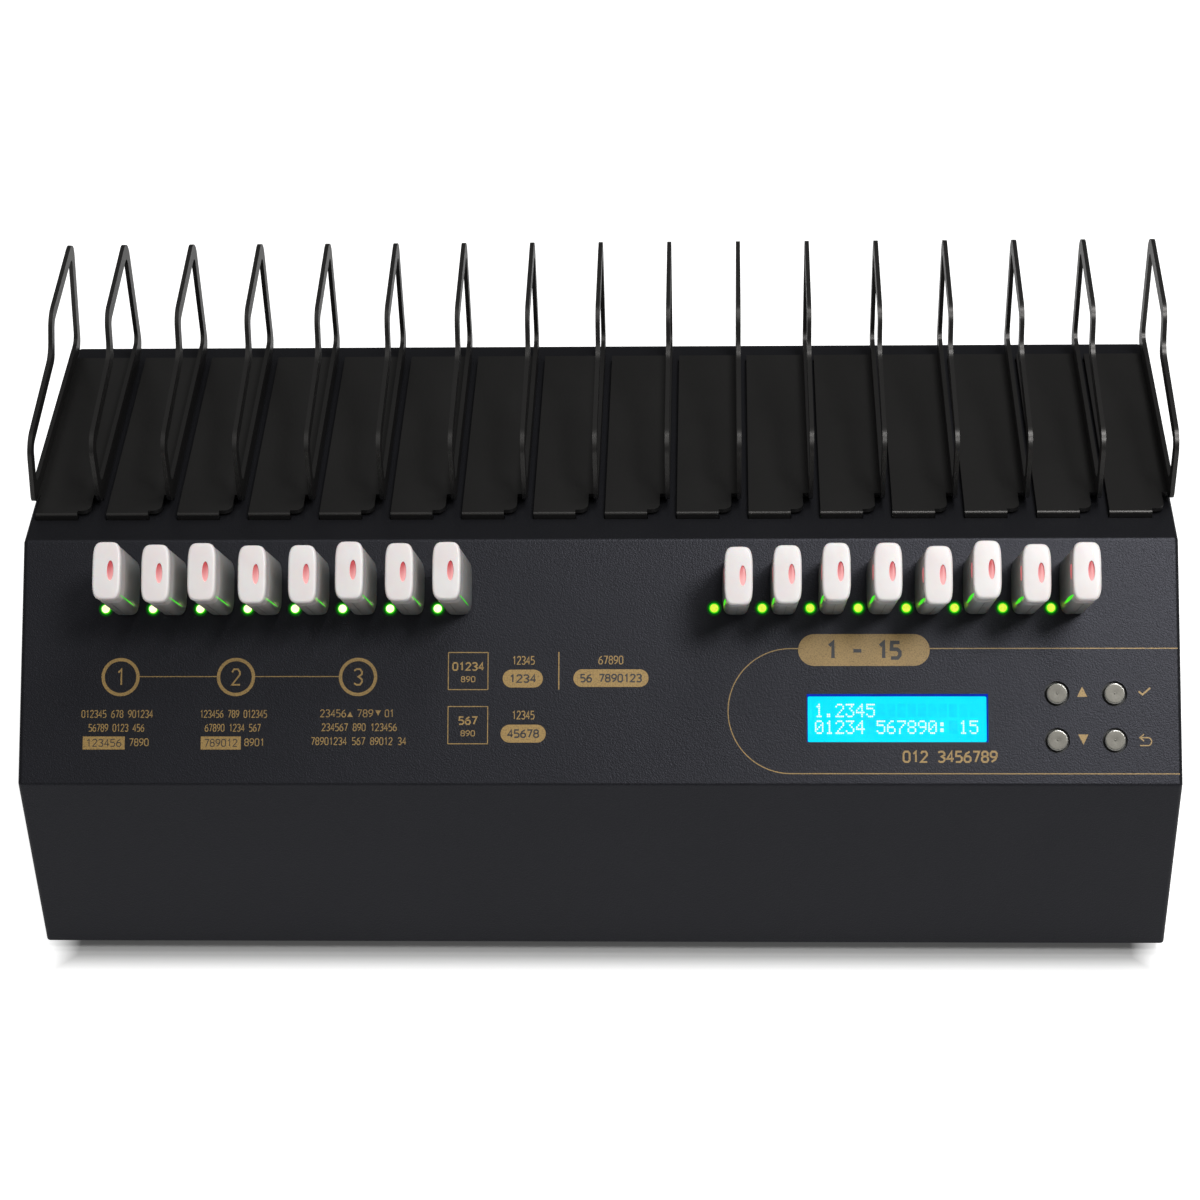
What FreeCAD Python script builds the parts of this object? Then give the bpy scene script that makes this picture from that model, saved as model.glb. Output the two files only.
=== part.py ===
import FreeCAD, Part
import os
import math
import Sketcher

# Flash drive duplicator: a wedge-shaped sheet metal console with sixteen drive ports on its sloped
# control panel, a character display, four push buttons and sixteen rack brackets on its deck.
# Millimetres. X to the right, Y to the back, Z up. The origin is on the desk under the middle of the
# whole object.

doc = FreeCAD.newDocument("duplicator")
sheet = doc.addObject("Spreadsheet::Sheet", "Sizes")

SIZES = {
    # Case: a vertical front, a sloped control panel and a level deck
    "body_width": 400.0,
    "front_height": 75.0,
    "panel_depth": 60.0,
    "panel_rise": 60.0,
    "deck_depth": 120.0,
    "sheet_thickness": 1.2,
    "bend_radius": 1.6,
    "fit_gap": 0.3,
    "flange_width": 10.0,
    "flange_setback": 8.0,
    "pan_lip": 12.0,
    "rear_inset": 0.5,
    "cut_past": 1.0,
    "lip_clear": 2.0,
    "hood_lip": 9.0,
    "hood_lip_inset": 50.0,
    # Feet
    "foot_height": 6.0,
    "foot_radius": 8.0,
    "foot_taper": 1.0,
    "foot_inset_x": 18.5,
    "foot_inset_y": 13.3,
    # Ports, lamps and flash drives on the panel
    "port_count": 8,
    "port_pitch": 16.5,
    "left_lamp_x": -170.5,
    "right_lamp_x": 40.5,
    "lamp_drop": 24.0,
    "lamp_radius": 1.5,
    "lamp_hole_gap": 0.1,
    "lamp_stand": 1.2,
    "lamp_flange": 0.5,
    "lamp_flange_height": 1.0,
    "lamp_flange_depth": 3.0,
    "lamp_leg": 0.5,
    "lamp_leg_pitch": 1.5,
    "lamp_dome": 1.35,
    "drive_offset": 7.4,
    "drive_drop": 16.8,
    "drive_width": 9.2,
    "drive_height": 19.2,
    "drive_length": 37.0,
    "drive_corner": 3.0,
    "drive_edge": 1.0,
    "drive_lift": 1.0,
    "cap_length": 4.0,
    "cap_step": 0.2,
    "cap_edge": 1.1,
    "eye_width": 2.1,
    "eye_height": 6.8,
    "eye_depth": 1.0,
    "eye_offset": 1.5,
    "plug_width": 4.5,
    "plug_height": 12.0,
    "plug_length": 11.5,
    "plug_wall": 0.3,
    "plug_core": 1.9,
    "socket_gap": 0.25,
    "socket_wall": 0.4,
    "socket_depth": 14.0,
    "socket_floor": 1.0,
    "socket_set_in": 0.2,
    "tongue_thickness": 1.5,
    "tongue_height": 10.4,
    "tongue_length": 9.0,
    "port_hole_gap": 0.3,
    # Port boards behind the panel
    "board_thickness": 1.6,
    "port_board_start": 5.0,
    "port_board_end": 11.0,
    "port_board_top": 3.0,
    "port_board_bottom": 37.0,
    "plug_block_width": 24.0,
    "plug_block_depth": 6.0,
    "plug_block_height": 8.0,
    "port_block_drop": 20.0,
    "hub_chip_offset": 48.0,
    # Display
    "window_x": 103.2,
    "window_drop": 61.9,
    "window_width": 62.0,
    "window_height": 16.6,
    "lens_margin": 2.2,
    "lens_thickness": 1.0,
    "bezel_width": 71.0,
    "bezel_height": 25.0,
    "bezel_depth": 6.0,
    "bezel_wall": 0.8,
    "bezel_rim": 1.0,
    "glass_thickness": 2.2,
    "glass_margin": 3.0,
    "display_board_width": 80.0,
    "display_board_height": 37.0,
    "display_hole_inset": 3.2,
    # Push buttons
    "button_x": 157.6,
    "button_drop": 53.6,
    "button_pitch_x": 19.6,
    "button_pitch_y": 16.0,
    "button_radius": 3.9,
    "button_hole_radius": 4.3,
    "button_stand": 1.2,
    "button_edge": 0.8,
    "button_flange": 1.0,
    "button_flange_height": 1.0,
    "stem_radius": 1.7,
    "stem_gap": 0.1,
    "stem_engage": 0.8,
    "switch_size": 6.0,
    "switch_height": 3.6,
    "switch_bore_depth": 2.0,
    "keypad_margin": 10.5,
    "keypad_margin_y": 9.0,
    "keypad_hole_inset": 3.5,
    # Spacers, standoffs and screws
    "spacer_radius": 2.5,
    "spacer_inset": 4.0,
    "stud_radius": 1.5,
    "stud_gap": 0.1,
    "screw_head_radius": 2.8,
    "screw_head_height": 1.8,
    "screw_cross_length": 3.4,
    "screw_cross_width": 0.8,
    "screw_cross_depth": 0.8,
    "case_screw_length": 6.0,
    "board_screw_length": 5.0,
    "standoff_height": 8.0,
    "bottom_screw_y": 30.0,
    "bottom_screw_pitch": 60.0,
    "bottom_screw_count": 3,
    "rear_screw_low": 35.0,
    "rear_screw_pitch": 70.0,
    "lip_screw_x": 120.0,
    # Main board
    "main_board_x": -72.0,
    "main_board_width": 190.0,
    "main_board_y": 42.0,
    "main_board_depth": 106.0,
    "sink_size": 36.0,
    "sink_base": 3.0,
    "sink_fin": 1.5,
    "sink_height": 12.0,
    "sink_fins": 8,
    "chip_size": 14.0,
    "sink_y": 108.0,
    "chip_height": 2.0,
    # Power supply
    "supply_x": -188.0,
    "supply_width": 108.0,
    "supply_y": 56.0,
    "supply_depth": 86.0,
    "supply_height": 38.0,
    "supply_edge": 1.2,
    "supply_slots": 9,
    "supply_slot_pitch": 9.0,
    "supply_slot_width": 3.0,
    "supply_slot_length": 30.0,
    "supply_slot_depth": 1.5,
    # Power inlet and rocker switch in the rear panel
    "inlet_x": -150.0,
    "inlet_z": 34.0,
    "inlet_width": 27.0,
    "inlet_height": 19.6,
    "inlet_depth": 22.0,
    "inlet_wall": 1.6,
    "inlet_floor": 3.0,
    "inlet_flange_x": 50.0,
    "inlet_flange_z": 23.0,
    "inlet_flange": 3.0,
    "inlet_rim": 2.0,
    "inlet_rim_margin": 1.5,
    "inlet_corner": 2.0,
    "pin_width": 2.0,
    "pin_height": 4.0,
    "pin_length": 12.0,
    "pin_pitch": 7.0,
    "pin_offset": 2.0,
    "tab_length": 7.0,
    "rocker_x": -104.0,
    "rocker_z": 34.0,
    "rocker_width": 10.6,
    "rocker_length": 17.0,
    "rocker_tilt": 9.0,
    "rocker_pin_radius": 1.2,
    "rocker_pin_gap": 0.08,
    "rocker_pin_length": 1.0,
    "rocker_gap": 0.3,
    "rocker_swing_gap": 0.7,
    "rocker_end_gap": 0.1,
    "rocker_depth": 5.0,
    "rocker_taper": 0.7,
    "switch_wall": 1.6,
    "switch_flange": 1.8,
    "switch_corner": 1.0,
    "switch_margin": 2.0,
    "switch_depth": 16.0,
    "switch_hollow": 10.0,
    # Fan
    "fan_x": 120.0,
    "fan_z": 62.0,
    "fan_size": 60.0,
    "fan_depth": 15.0,
    "fan_bore_radius": 28.0,
    "fan_wall": 2.0,
    "fan_hole_pitch": 50.0,
    "fan_hole_radius": 2.1,
    "hub_radius": 12.0,
    "hub_plate": 2.0,
    "bearing_radius": 3.0,
    "bearing_height": 7.5,
    "strut_width": 4.0,
    "rotor_radius": 26.5,
    "rotor_gap": 0.6,
    "rotor_hub_radius": 12.5,
    "blade_count": 7,
    "blade_thickness": 1.2,
    "blade_pitch_angle": 38.0,
    "blade_share": 0.9,
    "shaft_radius": 1.5,
    "shaft_gap": 0.05,
    "grille_radius": 2.2,
    "grille_first_ring": 8.0,
    "grille_ring_step": 6.2,
    "grille_first_count": 8,
    "grille_rings": 4,
    "vent_count": 14,
    "vent_pitch": 7.0,
    "vent_width": 3.0,
    "vent_length": 26.0,
    "vent_x": -176.0,
    "vent_z": 92.0,
    # Rack brackets on the deck
    "rack_count": 16,
    "rack_pitch": 25.0,
    "rack_sheet": 1.5,
    "rack_lift": 1.0,
    "rack_gap": 2.2,
    "plate_front": 12.0,
    "plate_rear": 110.0,
    "plate_step": 2.0,
    "plate_corner": 3.0,
    "loop_foot_corner": 4.5,
    "notch_width": 2.0,
    "notch_end": 23.3,
    "lip_width": 14.6,
    "lip_drop": 2.7,
    "lip_gap": 0.3,
    "lip_bend": 0.9,
    "rest_radius": 2.5,
    "rest_inset": 12.0,
    "loop_front": 17.0,
    "loop_low_top": 29.5,
    "loop_step_foot": 65.0,
    "loop_step_foot_top": 34.5,
    "loop_step_head": 69.5,
    "loop_step_head_top": 48.0,
    "loop_rear": 118.0,
    "loop_peak": 51.0,
    "loop_band": 5.0,
    "loop_rail": 8.5,
    "loop_corner": 7.5,
    "loop_inner_corner": 3.5,
    "end_loop_lean": 4.0,
    # Cables inside
    "ribbon_width": 20.0,
    "ribbon_thickness": 1.0,
    "ribbon_bend": 10.0,
    "left_ribbon_x": -58.0,
    "right_ribbon_x": 95.0,
    "display_ribbon_x": 78.0,
    "ribbon_run": 9.0,
    "display_ribbon_run": 32.0,
    "bridge_width": 12.0,
    "bridge_overlap": 5.0,
    "lead_radius": 1.0,
    "lead_pitch": 6.0,
    "lead_count": 3,
}

for row, (alias, number) in enumerate(SIZES.items(), start=1):
    sheet.set("A%d" % row, alias)
    sheet.set("B%d" % row, str(number))
    sheet.setAlias("B%d" % row, alias)
doc.recompute()


class Size:
    """A length that knows its number and the sheet formula that gives it."""

    def __init__(self, number, formula):
        self.number = number
        self.formula = formula

    @staticmethod
    def of(other):
        return other if isinstance(other, Size) else Size(float(other), "%.10g" % other)

    def combine(self, other, sign, number):
        return Size(number, "(%s %s %s)" % (self.formula, sign, Size.of(other).formula))

    def __add__(self, other):
        return self.combine(other, "+", self.number + Size.of(other).number)

    def __radd__(self, other):
        return Size.of(other) + self

    def __sub__(self, other):
        return self.combine(other, "-", self.number - Size.of(other).number)

    def __rsub__(self, other):
        return Size.of(other) - self

    def __mul__(self, other):
        return self.combine(other, "*", self.number * Size.of(other).number)

    def __rmul__(self, other):
        return Size.of(other) * self

    def __truediv__(self, other):
        return self.combine(other, "/", self.number / Size.of(other).number)

    def __neg__(self):
        return Size(-self.number, "(-%s)" % self.formula)


def root(value):
    return Size(math.sqrt(value.number), "sqrt(%s)" % value.formula)


class Sheet:
    """Gives each cell of the sheet as a Size by its alias."""

    def __getattr__(self, alias):
        return Size(float(SIZES[alias]), "Sizes." + alias)


S = Sheet()
ZERO = Size(0.0, "0")

# Places that several sub-parts share, in the case's own frame: X from the middle, Y from the front
# face, Z from the underside of the case
case_depth = S.panel_depth + S.deck_depth
case_height = S.front_height + S.panel_rise
half_width = S.body_width / 2
inner_half_width = half_width - S.sheet_thickness - S.fit_gap
panel_length = root(S.panel_depth * S.panel_depth + S.panel_rise * S.panel_rise)
panel_angle = math.degrees(math.atan2(S.panel_rise.number, S.panel_depth.number))
rear_outer = case_depth - S.rear_inset
rear_inner = rear_outer - S.sheet_thickness
rear_flange_front = rear_inner - S.sheet_thickness
rear_reach = S.inlet_flange + S.inlet_rim - S.rear_inset
front_y = -(case_depth + rear_reach) / 2
deck_z = case_height + S.foot_height
group_span = (S.port_count - 1) * S.port_pitch
display_board_top = S.sheet_thickness + S.lens_thickness + S.bezel_depth
port_board_front = S.socket_depth + S.socket_set_in
socket_width = S.plug_width + 2 * (S.socket_gap + S.socket_wall)
socket_height = S.plug_height + 2 * (S.socket_gap + S.socket_wall)
main_board_z = S.sheet_thickness + S.standoff_height
main_board_top = main_board_z + S.board_thickness
switch_outer_x = S.rocker_width + 2 * (S.rocker_gap + S.switch_wall)
switch_outer_z = S.rocker_length + 2 * (S.rocker_swing_gap + S.switch_wall)
screw_hole = S.stud_radius + S.stud_gap
through = S.sheet_thickness + 2 * S.cut_past

# How near two numbers must be to count as the same place, the least length of an edge that counts
# as long, and how near to one the product of two directions must be for them to count as parallel
NEAR = 0.01
LONG = 1.0
PARALLEL = 0.999
FULL_TURN = 360

nodes = []


def bind(obj, prop, value):
    """Ties one property to its sheet formula."""
    obj.setExpression(prop, Size.of(value).formula)


def place(obj, x, y, z, axis=(1, 0, 0), angle=0.0):
    """Places an object at a point given by sizes, turned about one axis."""
    obj.Placement = FreeCAD.Placement(
        FreeCAD.Vector(Size.of(x).number, Size.of(y).number, Size.of(z).number),
        FreeCAD.Rotation(FreeCAD.Vector(*axis), angle),
    )
    for prop, value in zip(("x", "y", "z"), (x, y, z)):
        bind(obj, "Placement.Base." + prop, value)
    return obj


def in_case(obj, x=ZERO, y=ZERO, z=ZERO):
    """Places an object given in the case's frame."""
    return place(obj, x, front_y + y, S.foot_height + z)


def on_panel(obj):
    """Places an object whose Z is the panel's outward normal and whose Y climbs the panel."""
    return place(obj, ZERO, front_y, S.foot_height + S.front_height, angle=panel_angle)


def new_body(label, several=False):
    body = doc.addObject("PartDesign::Body", label)
    body.Label = label
    if several:
        body.AllowCompound = True
    return body


def plane(body, role):
    return next(f for f in body.Origin.OriginFeatures if f.Role == role)


def new_sketch(body, name, role="XY_Plane", lift=ZERO, turn=FreeCAD.Rotation()):
    """Adds a sketch on one of the body's own planes, lifted along that plane's normal."""
    sketch = body.newObject("Sketcher::SketchObject", body.Label + "_" + name)
    sketch.AttachmentSupport = [(plane(body, role), "")]
    sketch.MapMode = "FlatFace"
    sketch.AttachmentOffset = FreeCAD.Placement(FreeCAD.Vector(0, 0, lift.number), turn)
    bind(sketch, "AttachmentOffset.Base.z", lift)
    return sketch


rules = {}


def add_rule(sketch, *values, size=None):
    """Notes one constraint of a sketch, and the size that drives it if it has one."""
    driven = values if size is None else values + (size.number,)
    rules.setdefault(sketch.Name, []).append((Sketcher.Constraint(*driven), size))


def settle(sketch):
    """Gives a sketch all its noted constraints at once."""
    noted = rules.pop(sketch.Name)
    numbers = sketch.addConstraint([rule for rule, size in noted])
    for number, (rule, size) in zip(numbers, noted):
        if size is not None:
            sketch.setExpression("Constraints[%d]" % number, size.formula)


def pin_point(sketch, geometry, position, x, y):
    """Holds one sketch point at the place that two sizes give."""
    add_rule(sketch, "DistanceX", -1, 1, geometry, position, size=x)
    add_rule(sketch, "DistanceY", -1, 1, geometry, position, size=y)


def draw_outline(sketch, corners):
    """Draws a closed outline of straight lines through corners given as pairs of sizes."""
    corners = [(Size.of(x), Size.of(y)) for x, y in corners]
    points = [FreeCAD.Vector(x.number, y.number, 0) for x, y in corners]
    first = sketch.GeometryCount
    for start, end in zip(points, points[1:] + points[:1]):
        sketch.addGeometry(Part.LineSegment(start, end), False)
    count = len(points)
    for index in range(count):
        following = first + (index + 1) % count
        add_rule(sketch, "Coincident", first + index, 2, following, 1)
    for index, (x, y) in enumerate(corners):
        pin_point(sketch, first + index, 1, x, y)
    return sketch


def draw_rectangle(sketch, x_low, y_low, x_high, y_high):
    corners = [(x_low, y_low), (x_high, y_low), (x_high, y_high), (x_low, y_high)]
    return draw_outline(sketch, corners)


def draw_centred(sketch, x, y, width, height):
    """Draws a rectangle about its middle point."""
    return draw_rectangle(sketch, x - width / 2, y - height / 2, x + width / 2, y + height / 2)


def draw_circle(sketch, x, y, radius):
    x, y, radius = Size.of(x), Size.of(y), Size.of(radius)
    centre = FreeCAD.Vector(x.number, y.number, 0)
    circle = Part.Circle(centre, FreeCAD.Vector(0, 0, 1), radius.number)
    geometry = sketch.addGeometry(circle, False)
    pin_point(sketch, geometry, 3, x, y)
    add_rule(sketch, "Radius", geometry, size=radius)
    return sketch


def pad(sketch, length, down=False, middle=False):
    settle(sketch)
    body = sketch.getParentGeoFeatureGroup()
    feature = body.newObject("PartDesign::Pad", sketch.Label + "_pad")
    feature.Profile = sketch
    bind(feature, "Length", length)
    feature.Reversed = down
    if middle:
        feature.SideType = "Symmetric"
    body.Tip = feature
    return feature


def pocket(sketch, length, up=False, middle=False):
    """Cuts against the sketch's normal, or along it when up is set."""
    settle(sketch)
    body = sketch.getParentGeoFeatureGroup()
    feature = body.newObject("PartDesign::Pocket", sketch.Label + "_cut")
    feature.Profile = sketch
    bind(feature, "Length", length)
    feature.Reversed = up
    if middle:
        feature.SideType = "Symmetric"
    body.Tip = feature
    return feature


def row_of(features, role, count, length):
    """Repeats features along one of the body's own axes."""
    body = features[0].getParentGeoFeatureGroup()
    feature = body.newObject("PartDesign::LinearPattern", features[0].Label + "_row")
    feature.Originals = features
    feature.Direction = (plane(body, role), [""])
    bind(feature, "Occurrences", count)
    bind(feature, "Length", length)
    body.Tip = feature
    return feature


def ring_of(features, role, count):
    body = features[0].getParentGeoFeatureGroup()
    feature = body.newObject("PartDesign::PolarPattern", features[0].Label + "_ring")
    feature.Originals = features
    feature.Axis = (plane(body, role), [""])
    feature.Angle = FULL_TURN
    bind(feature, "Occurrences", count)
    body.Tip = feature
    return feature


def round_edges(feature, radius, test):
    """Rounds the edges of a feature's shape that pass a test."""
    doc.recompute()
    body = feature.getParentGeoFeatureGroup()
    names = ["Edge%d" % number for number, edge in enumerate(feature.Shape.Edges, 1) if test(edge)]
    if not names:
        raise RuntimeError("no edge to round on " + feature.Label)
    fillet = body.newObject("PartDesign::Fillet", feature.Label + "_round")
    fillet.Base = (feature, names)
    bind(fillet, "Radius", radius)
    body.Tip = fillet
    return fillet


def along(axis):
    """Makes a test for straight edges that run along an axis."""
    direction = FreeCAD.Vector(*axis)

    def test(edge):
        if not isinstance(edge.Curve, Part.Line):
            return False
        return abs(edge.Curve.Direction.dot(direction)) > PARALLEL
    return test


def at_height(axis_index, size):
    """Makes a test for edges that lie wholly at one coordinate."""
    def test(edge):
        box = edge.BoundBox
        low = (box.XMin, box.YMin, box.ZMin)[axis_index]
        high = (box.XMax, box.YMax, box.ZMax)[axis_index]
        return abs(low - size.number) < NEAR and abs(high - size.number) < NEAR
    return test


def node(obj, label=None):
    """Names a finished sub-part and puts it on the list that is written out."""
    if label:
        obj.Label = label
    nodes.append(obj)
    return obj


def compound(label, members):
    group = doc.addObject("Part::Compound", label)
    group.Label = label
    group.Links = members
    return group


def panel_y(drop):
    """Turns a distance down from the upper crease into a height up the panel."""
    return panel_length - drop


# Case

def build_console_cover():
    """The folded cover: front, sloped panel, deck and sides, open below and behind."""
    body = new_body("console_cover")
    outline = new_sketch(body, "profile", "YZ_Plane")
    draw_outline(outline, [
        (ZERO, ZERO), (ZERO, S.front_height), (S.panel_depth, case_height),
        (case_depth, case_height), (case_depth, ZERO),
    ])
    block = pad(outline, S.body_width, middle=True)

    def outer_bend(edge):
        box = edge.BoundBox
        side = box.XLength < NEAR and abs(abs(box.XMin) - half_width.number) < NEAR
        folded = box.ZMax > NEAR and box.YMin < case_depth.number - NEAR
        crease = box.XLength > LONG and folded and box.ZMin > NEAR
        return (side and folded) or crease
    round_edges(block, S.bend_radius, outer_bend)

    t = S.sheet_thickness
    slope = S.panel_rise / S.panel_depth
    slant = panel_length / S.panel_depth
    past = case_depth + S.cut_past
    inside = new_sketch(body, "inside", "YZ_Plane")
    draw_outline(inside, [
        (t, -S.cut_past),
        (t, S.front_height + slope * t - slant * t),
        ((S.panel_rise - t + slant * t) / slope, case_height - t),
        (past, case_height - t), (past, -S.cut_past),
    ])
    pocket(inside, S.body_width - 2 * t, middle=True)

    flange = new_sketch(body, "bottom_flange", lift=t)
    for side in (-1, 1):
        wall = side * (half_width - t)
        draw_rectangle(flange, wall, S.flange_setback, wall - side * S.flange_width,
                       case_depth - S.flange_setback)
    pad(flange, t)

    rear = new_sketch(body, "rear_flange", "XZ_Plane", lift=-rear_flange_front)
    for side in (-1, 1):
        wall = side * (half_width - t)
        draw_rectangle(rear, wall, S.pan_lip + S.lip_clear, wall - side * S.flange_width,
                       case_height - t - S.hood_lip)
    hood = half_width - S.hood_lip_inset
    draw_rectangle(rear, -hood, case_height - t - S.hood_lip, hood, case_height - t)
    pad(rear, t, down=True)

    screws = new_sketch(body, "bottom_screws")
    for x, y in bottom_screw_places():
        draw_circle(screws, x, y, screw_hole)
    pocket(screws, through, up=True)

    rear_screws = new_sketch(body, "rear_screws", "XZ_Plane", lift=-rear_inner)
    for x, z in side_screw_places():
        draw_circle(rear_screws, x, z, screw_hole)
    pocket(rear_screws, through, up=True)

    cut_panel_holes(body)
    cut_lip_slots(body)
    in_case(body)
    return node(body)


def bottom_screw_places():
    """Where the screws of the base pan meet the cover's bottom flanges."""
    x = half_width - S.sheet_thickness - S.flange_width / 2
    return [
        (side * x, S.bottom_screw_y + step * S.bottom_screw_pitch)
        for side in (-1, 1) for step in range(count_of("bottom_screw_count"))
    ]


def side_screw_places():
    """Where the screws of the rear panel meet the cover's rear flanges."""
    x = half_width - S.sheet_thickness - S.flange_width / 2
    return [(side * x, S.rear_screw_low + step * S.rear_screw_pitch) for side in (-1, 1) for step in (0, 1)]


def panel_sketch(body, name):
    """A sketch on the sloped panel of a body that is drawn in the case's frame."""
    turn = FreeCAD.Rotation(FreeCAD.Vector(1, 0, 0), panel_angle)
    return new_sketch(body, name, lift=S.front_height, turn=turn)


def cut_panel_holes(body):
    """The ports, lamp holes, display window and button holes of the control panel."""
    ports = panel_sketch(body, "ports")
    for start in (S.left_lamp_x, S.right_lamp_x):
        draw_centred(ports, start + S.drive_offset, panel_y(S.drive_drop),
                     socket_width + 2 * S.port_hole_gap, socket_height + 2 * S.port_hole_gap)
        draw_circle(ports, start, panel_y(S.lamp_drop), S.lamp_radius + S.lamp_hole_gap)
    row_of([pocket(ports, through)], "X_Axis", S.port_count, group_span)
    window = panel_sketch(body, "window")
    draw_centred(window, S.window_x, panel_y(S.window_drop), S.window_width, S.window_height)
    for x, y in button_places():
        draw_circle(window, x, y, S.button_hole_radius)
    pocket(window, through)


def cut_lip_slots(body):
    """Two slots in the deck for the lips of each rack bracket."""
    slots = new_sketch(body, "lip_slots", lift=case_height)
    left = -half_width + S.rack_gap + S.fit_gap
    for front in (S.plate_front, S.plate_rear - S.rack_sheet):
        draw_rectangle(slots, left - S.lip_gap, S.panel_depth + front - S.lip_gap,
                       left + S.lip_width + S.lip_gap,
                       S.panel_depth + front + S.rack_sheet + S.lip_gap)
    row_of([pocket(slots, through)], "X_Axis", S.rack_count,
           (S.rack_count - 1) * S.rack_pitch)


def button_places():
    """The four buttons: left column, right column, upper row first."""
    return [
        (S.button_x + column * S.button_pitch_x, panel_y(S.button_drop) - line * S.button_pitch_y)
        for line in (0, 1) for column in (0, 1)
    ]


def count_of(name):
    """A whole number from the sheet."""
    return int(SIZES[name])


def lip_screw_places():
    """Where the rear panel meets the pan's rear lip."""
    return [(side * S.lip_screw_x, S.pan_lip / 2 + S.sheet_thickness / 2) for side in (-1, 1)]


def build_base_pan():
    body = new_body("base_pan")
    t = S.sheet_thickness
    front = t + S.fit_gap
    floor = new_sketch(body, "floor")
    draw_rectangle(floor, -inner_half_width, front, inner_half_width, rear_inner)
    pad(floor, t)
    lips = new_sketch(body, "lips")
    lip_half = inner_half_width - S.flange_width - S.lip_clear
    draw_rectangle(lips, -lip_half, front, lip_half, front + t)
    draw_rectangle(lips, -lip_half, rear_inner - t, lip_half, rear_inner)
    pad(lips, S.pan_lip)
    holes = new_sketch(body, "holes")
    for x, y in bottom_screw_places() + standoff_places():
        draw_circle(holes, x, y, screw_hole)
    pocket(holes, through, up=True)
    rear = new_sketch(body, "rear_holes", "XZ_Plane", lift=-rear_inner)
    for x, z in lip_screw_places():
        draw_circle(rear, x, z, screw_hole)
    pocket(rear, through, up=True)
    in_case(body)
    return node(body)


def standoff_places():
    """The four corners of the main board's fixing pattern."""
    inset = S.spacer_inset
    xs = (S.main_board_x + inset, S.main_board_x + S.main_board_width - inset)
    ys = (S.main_board_y + inset, S.main_board_y + S.main_board_depth - inset)
    return [(x, y) for x in xs for y in ys]


def build_rear_panel():
    body = new_body("rear_panel")
    t = S.sheet_thickness
    plate = new_sketch(body, "plate", "XZ_Plane")
    draw_rectangle(plate, -inner_half_width, ZERO, inner_half_width, case_height - t - S.fit_gap)
    pad(plate, t)
    cuts = new_sketch(body, "cuts", "XZ_Plane")
    draw_centred(cuts, S.inlet_x, S.inlet_z, S.inlet_width + 2 * S.fit_gap, S.inlet_height + 2 * S.fit_gap)
    draw_centred(cuts, S.rocker_x, S.rocker_z, switch_outer_x + 2 * S.fit_gap, switch_outer_z + 2 * S.fit_gap)
    for x, z in side_screw_places() + lip_screw_places() + fan_screw_places():
        draw_circle(cuts, x, z, screw_hole)
    pocket(cuts, through, middle=True)
    vents = new_sketch(body, "vents", "XZ_Plane")
    draw_centred(vents, S.vent_x, S.vent_z, S.vent_width, S.vent_length)
    row_of([pocket(vents, through, middle=True)], "X_Axis", S.vent_count,
           (S.vent_count - 1) * S.vent_pitch)
    for ring in range(count_of("grille_rings")):
        count = count_of("grille_first_count") * (ring + 1)
        reach = S.grille_first_ring + ring * S.grille_ring_step
        holes = new_sketch(body, "grille_%d" % ring, "XZ_Plane")
        for step in range(count):
            turn = 2 * math.pi * step / count
            draw_circle(holes, S.fan_x + reach * math.cos(turn), S.fan_z + reach * math.sin(turn),
                        S.grille_radius)
        pocket(holes, through, middle=True)
    in_case(body, y=rear_outer)
    return node(body)


def fan_screw_places():
    half = S.fan_hole_pitch / 2
    return [(S.fan_x + a * half, S.fan_z + b * half) for a in (-1, 1) for b in (-1, 1)]


def build_feet():
    members = []
    for a in (-1, 1):
        for y in (S.foot_inset_y, case_depth - S.foot_inset_y):
            foot = doc.addObject("Part::Cone", "foot")
            bind(foot, "Radius1", S.foot_radius - S.foot_taper)
            bind(foot, "Radius2", S.foot_radius)
            bind(foot, "Height", S.foot_height)
            place(foot, a * (half_width - S.foot_inset_x), front_y + y, ZERO)
            members.append(foot)
    return node(compound("rubber_feet", members))


# Ports and flash drives

def first_places():
    """The first drive of the left and of the right group, across the panel."""
    return (S.left_lamp_x + S.drive_offset, S.right_lamp_x + S.drive_offset)


def build_sockets():
    """The upright sockets: each a shell with a floor and a contact tongue."""
    body = new_body("usb_sockets", several=True)
    y = panel_y(S.drive_drop)
    shell = new_sketch(body, "shell", lift=-port_board_front)
    hollow = new_sketch(body, "hollow", lift=S.socket_floor - port_board_front)
    tongue = new_sketch(body, "tongue", lift=S.socket_floor - port_board_front)
    for x in first_places():
        draw_centred(shell, x, y, socket_width, socket_height)
        draw_centred(hollow, x, y, S.plug_width + 2 * S.socket_gap, S.plug_height + 2 * S.socket_gap)
    made = [pad(shell, port_board_front - S.socket_set_in)]
    made.append(pocket(hollow, port_board_front, up=True))
    shelf = -S.plug_width / 2 + S.plug_wall + S.plug_core + S.socket_gap
    for x in first_places():
        draw_rectangle(tongue, x + shelf, y - S.tongue_height / 2,
                       x + shelf + S.tongue_thickness, y + S.tongue_height / 2)
    made.append(pad(tongue, S.tongue_length))
    row_of(made, "X_Axis", S.port_count, group_span)
    on_panel(body)
    return node(body)


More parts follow.
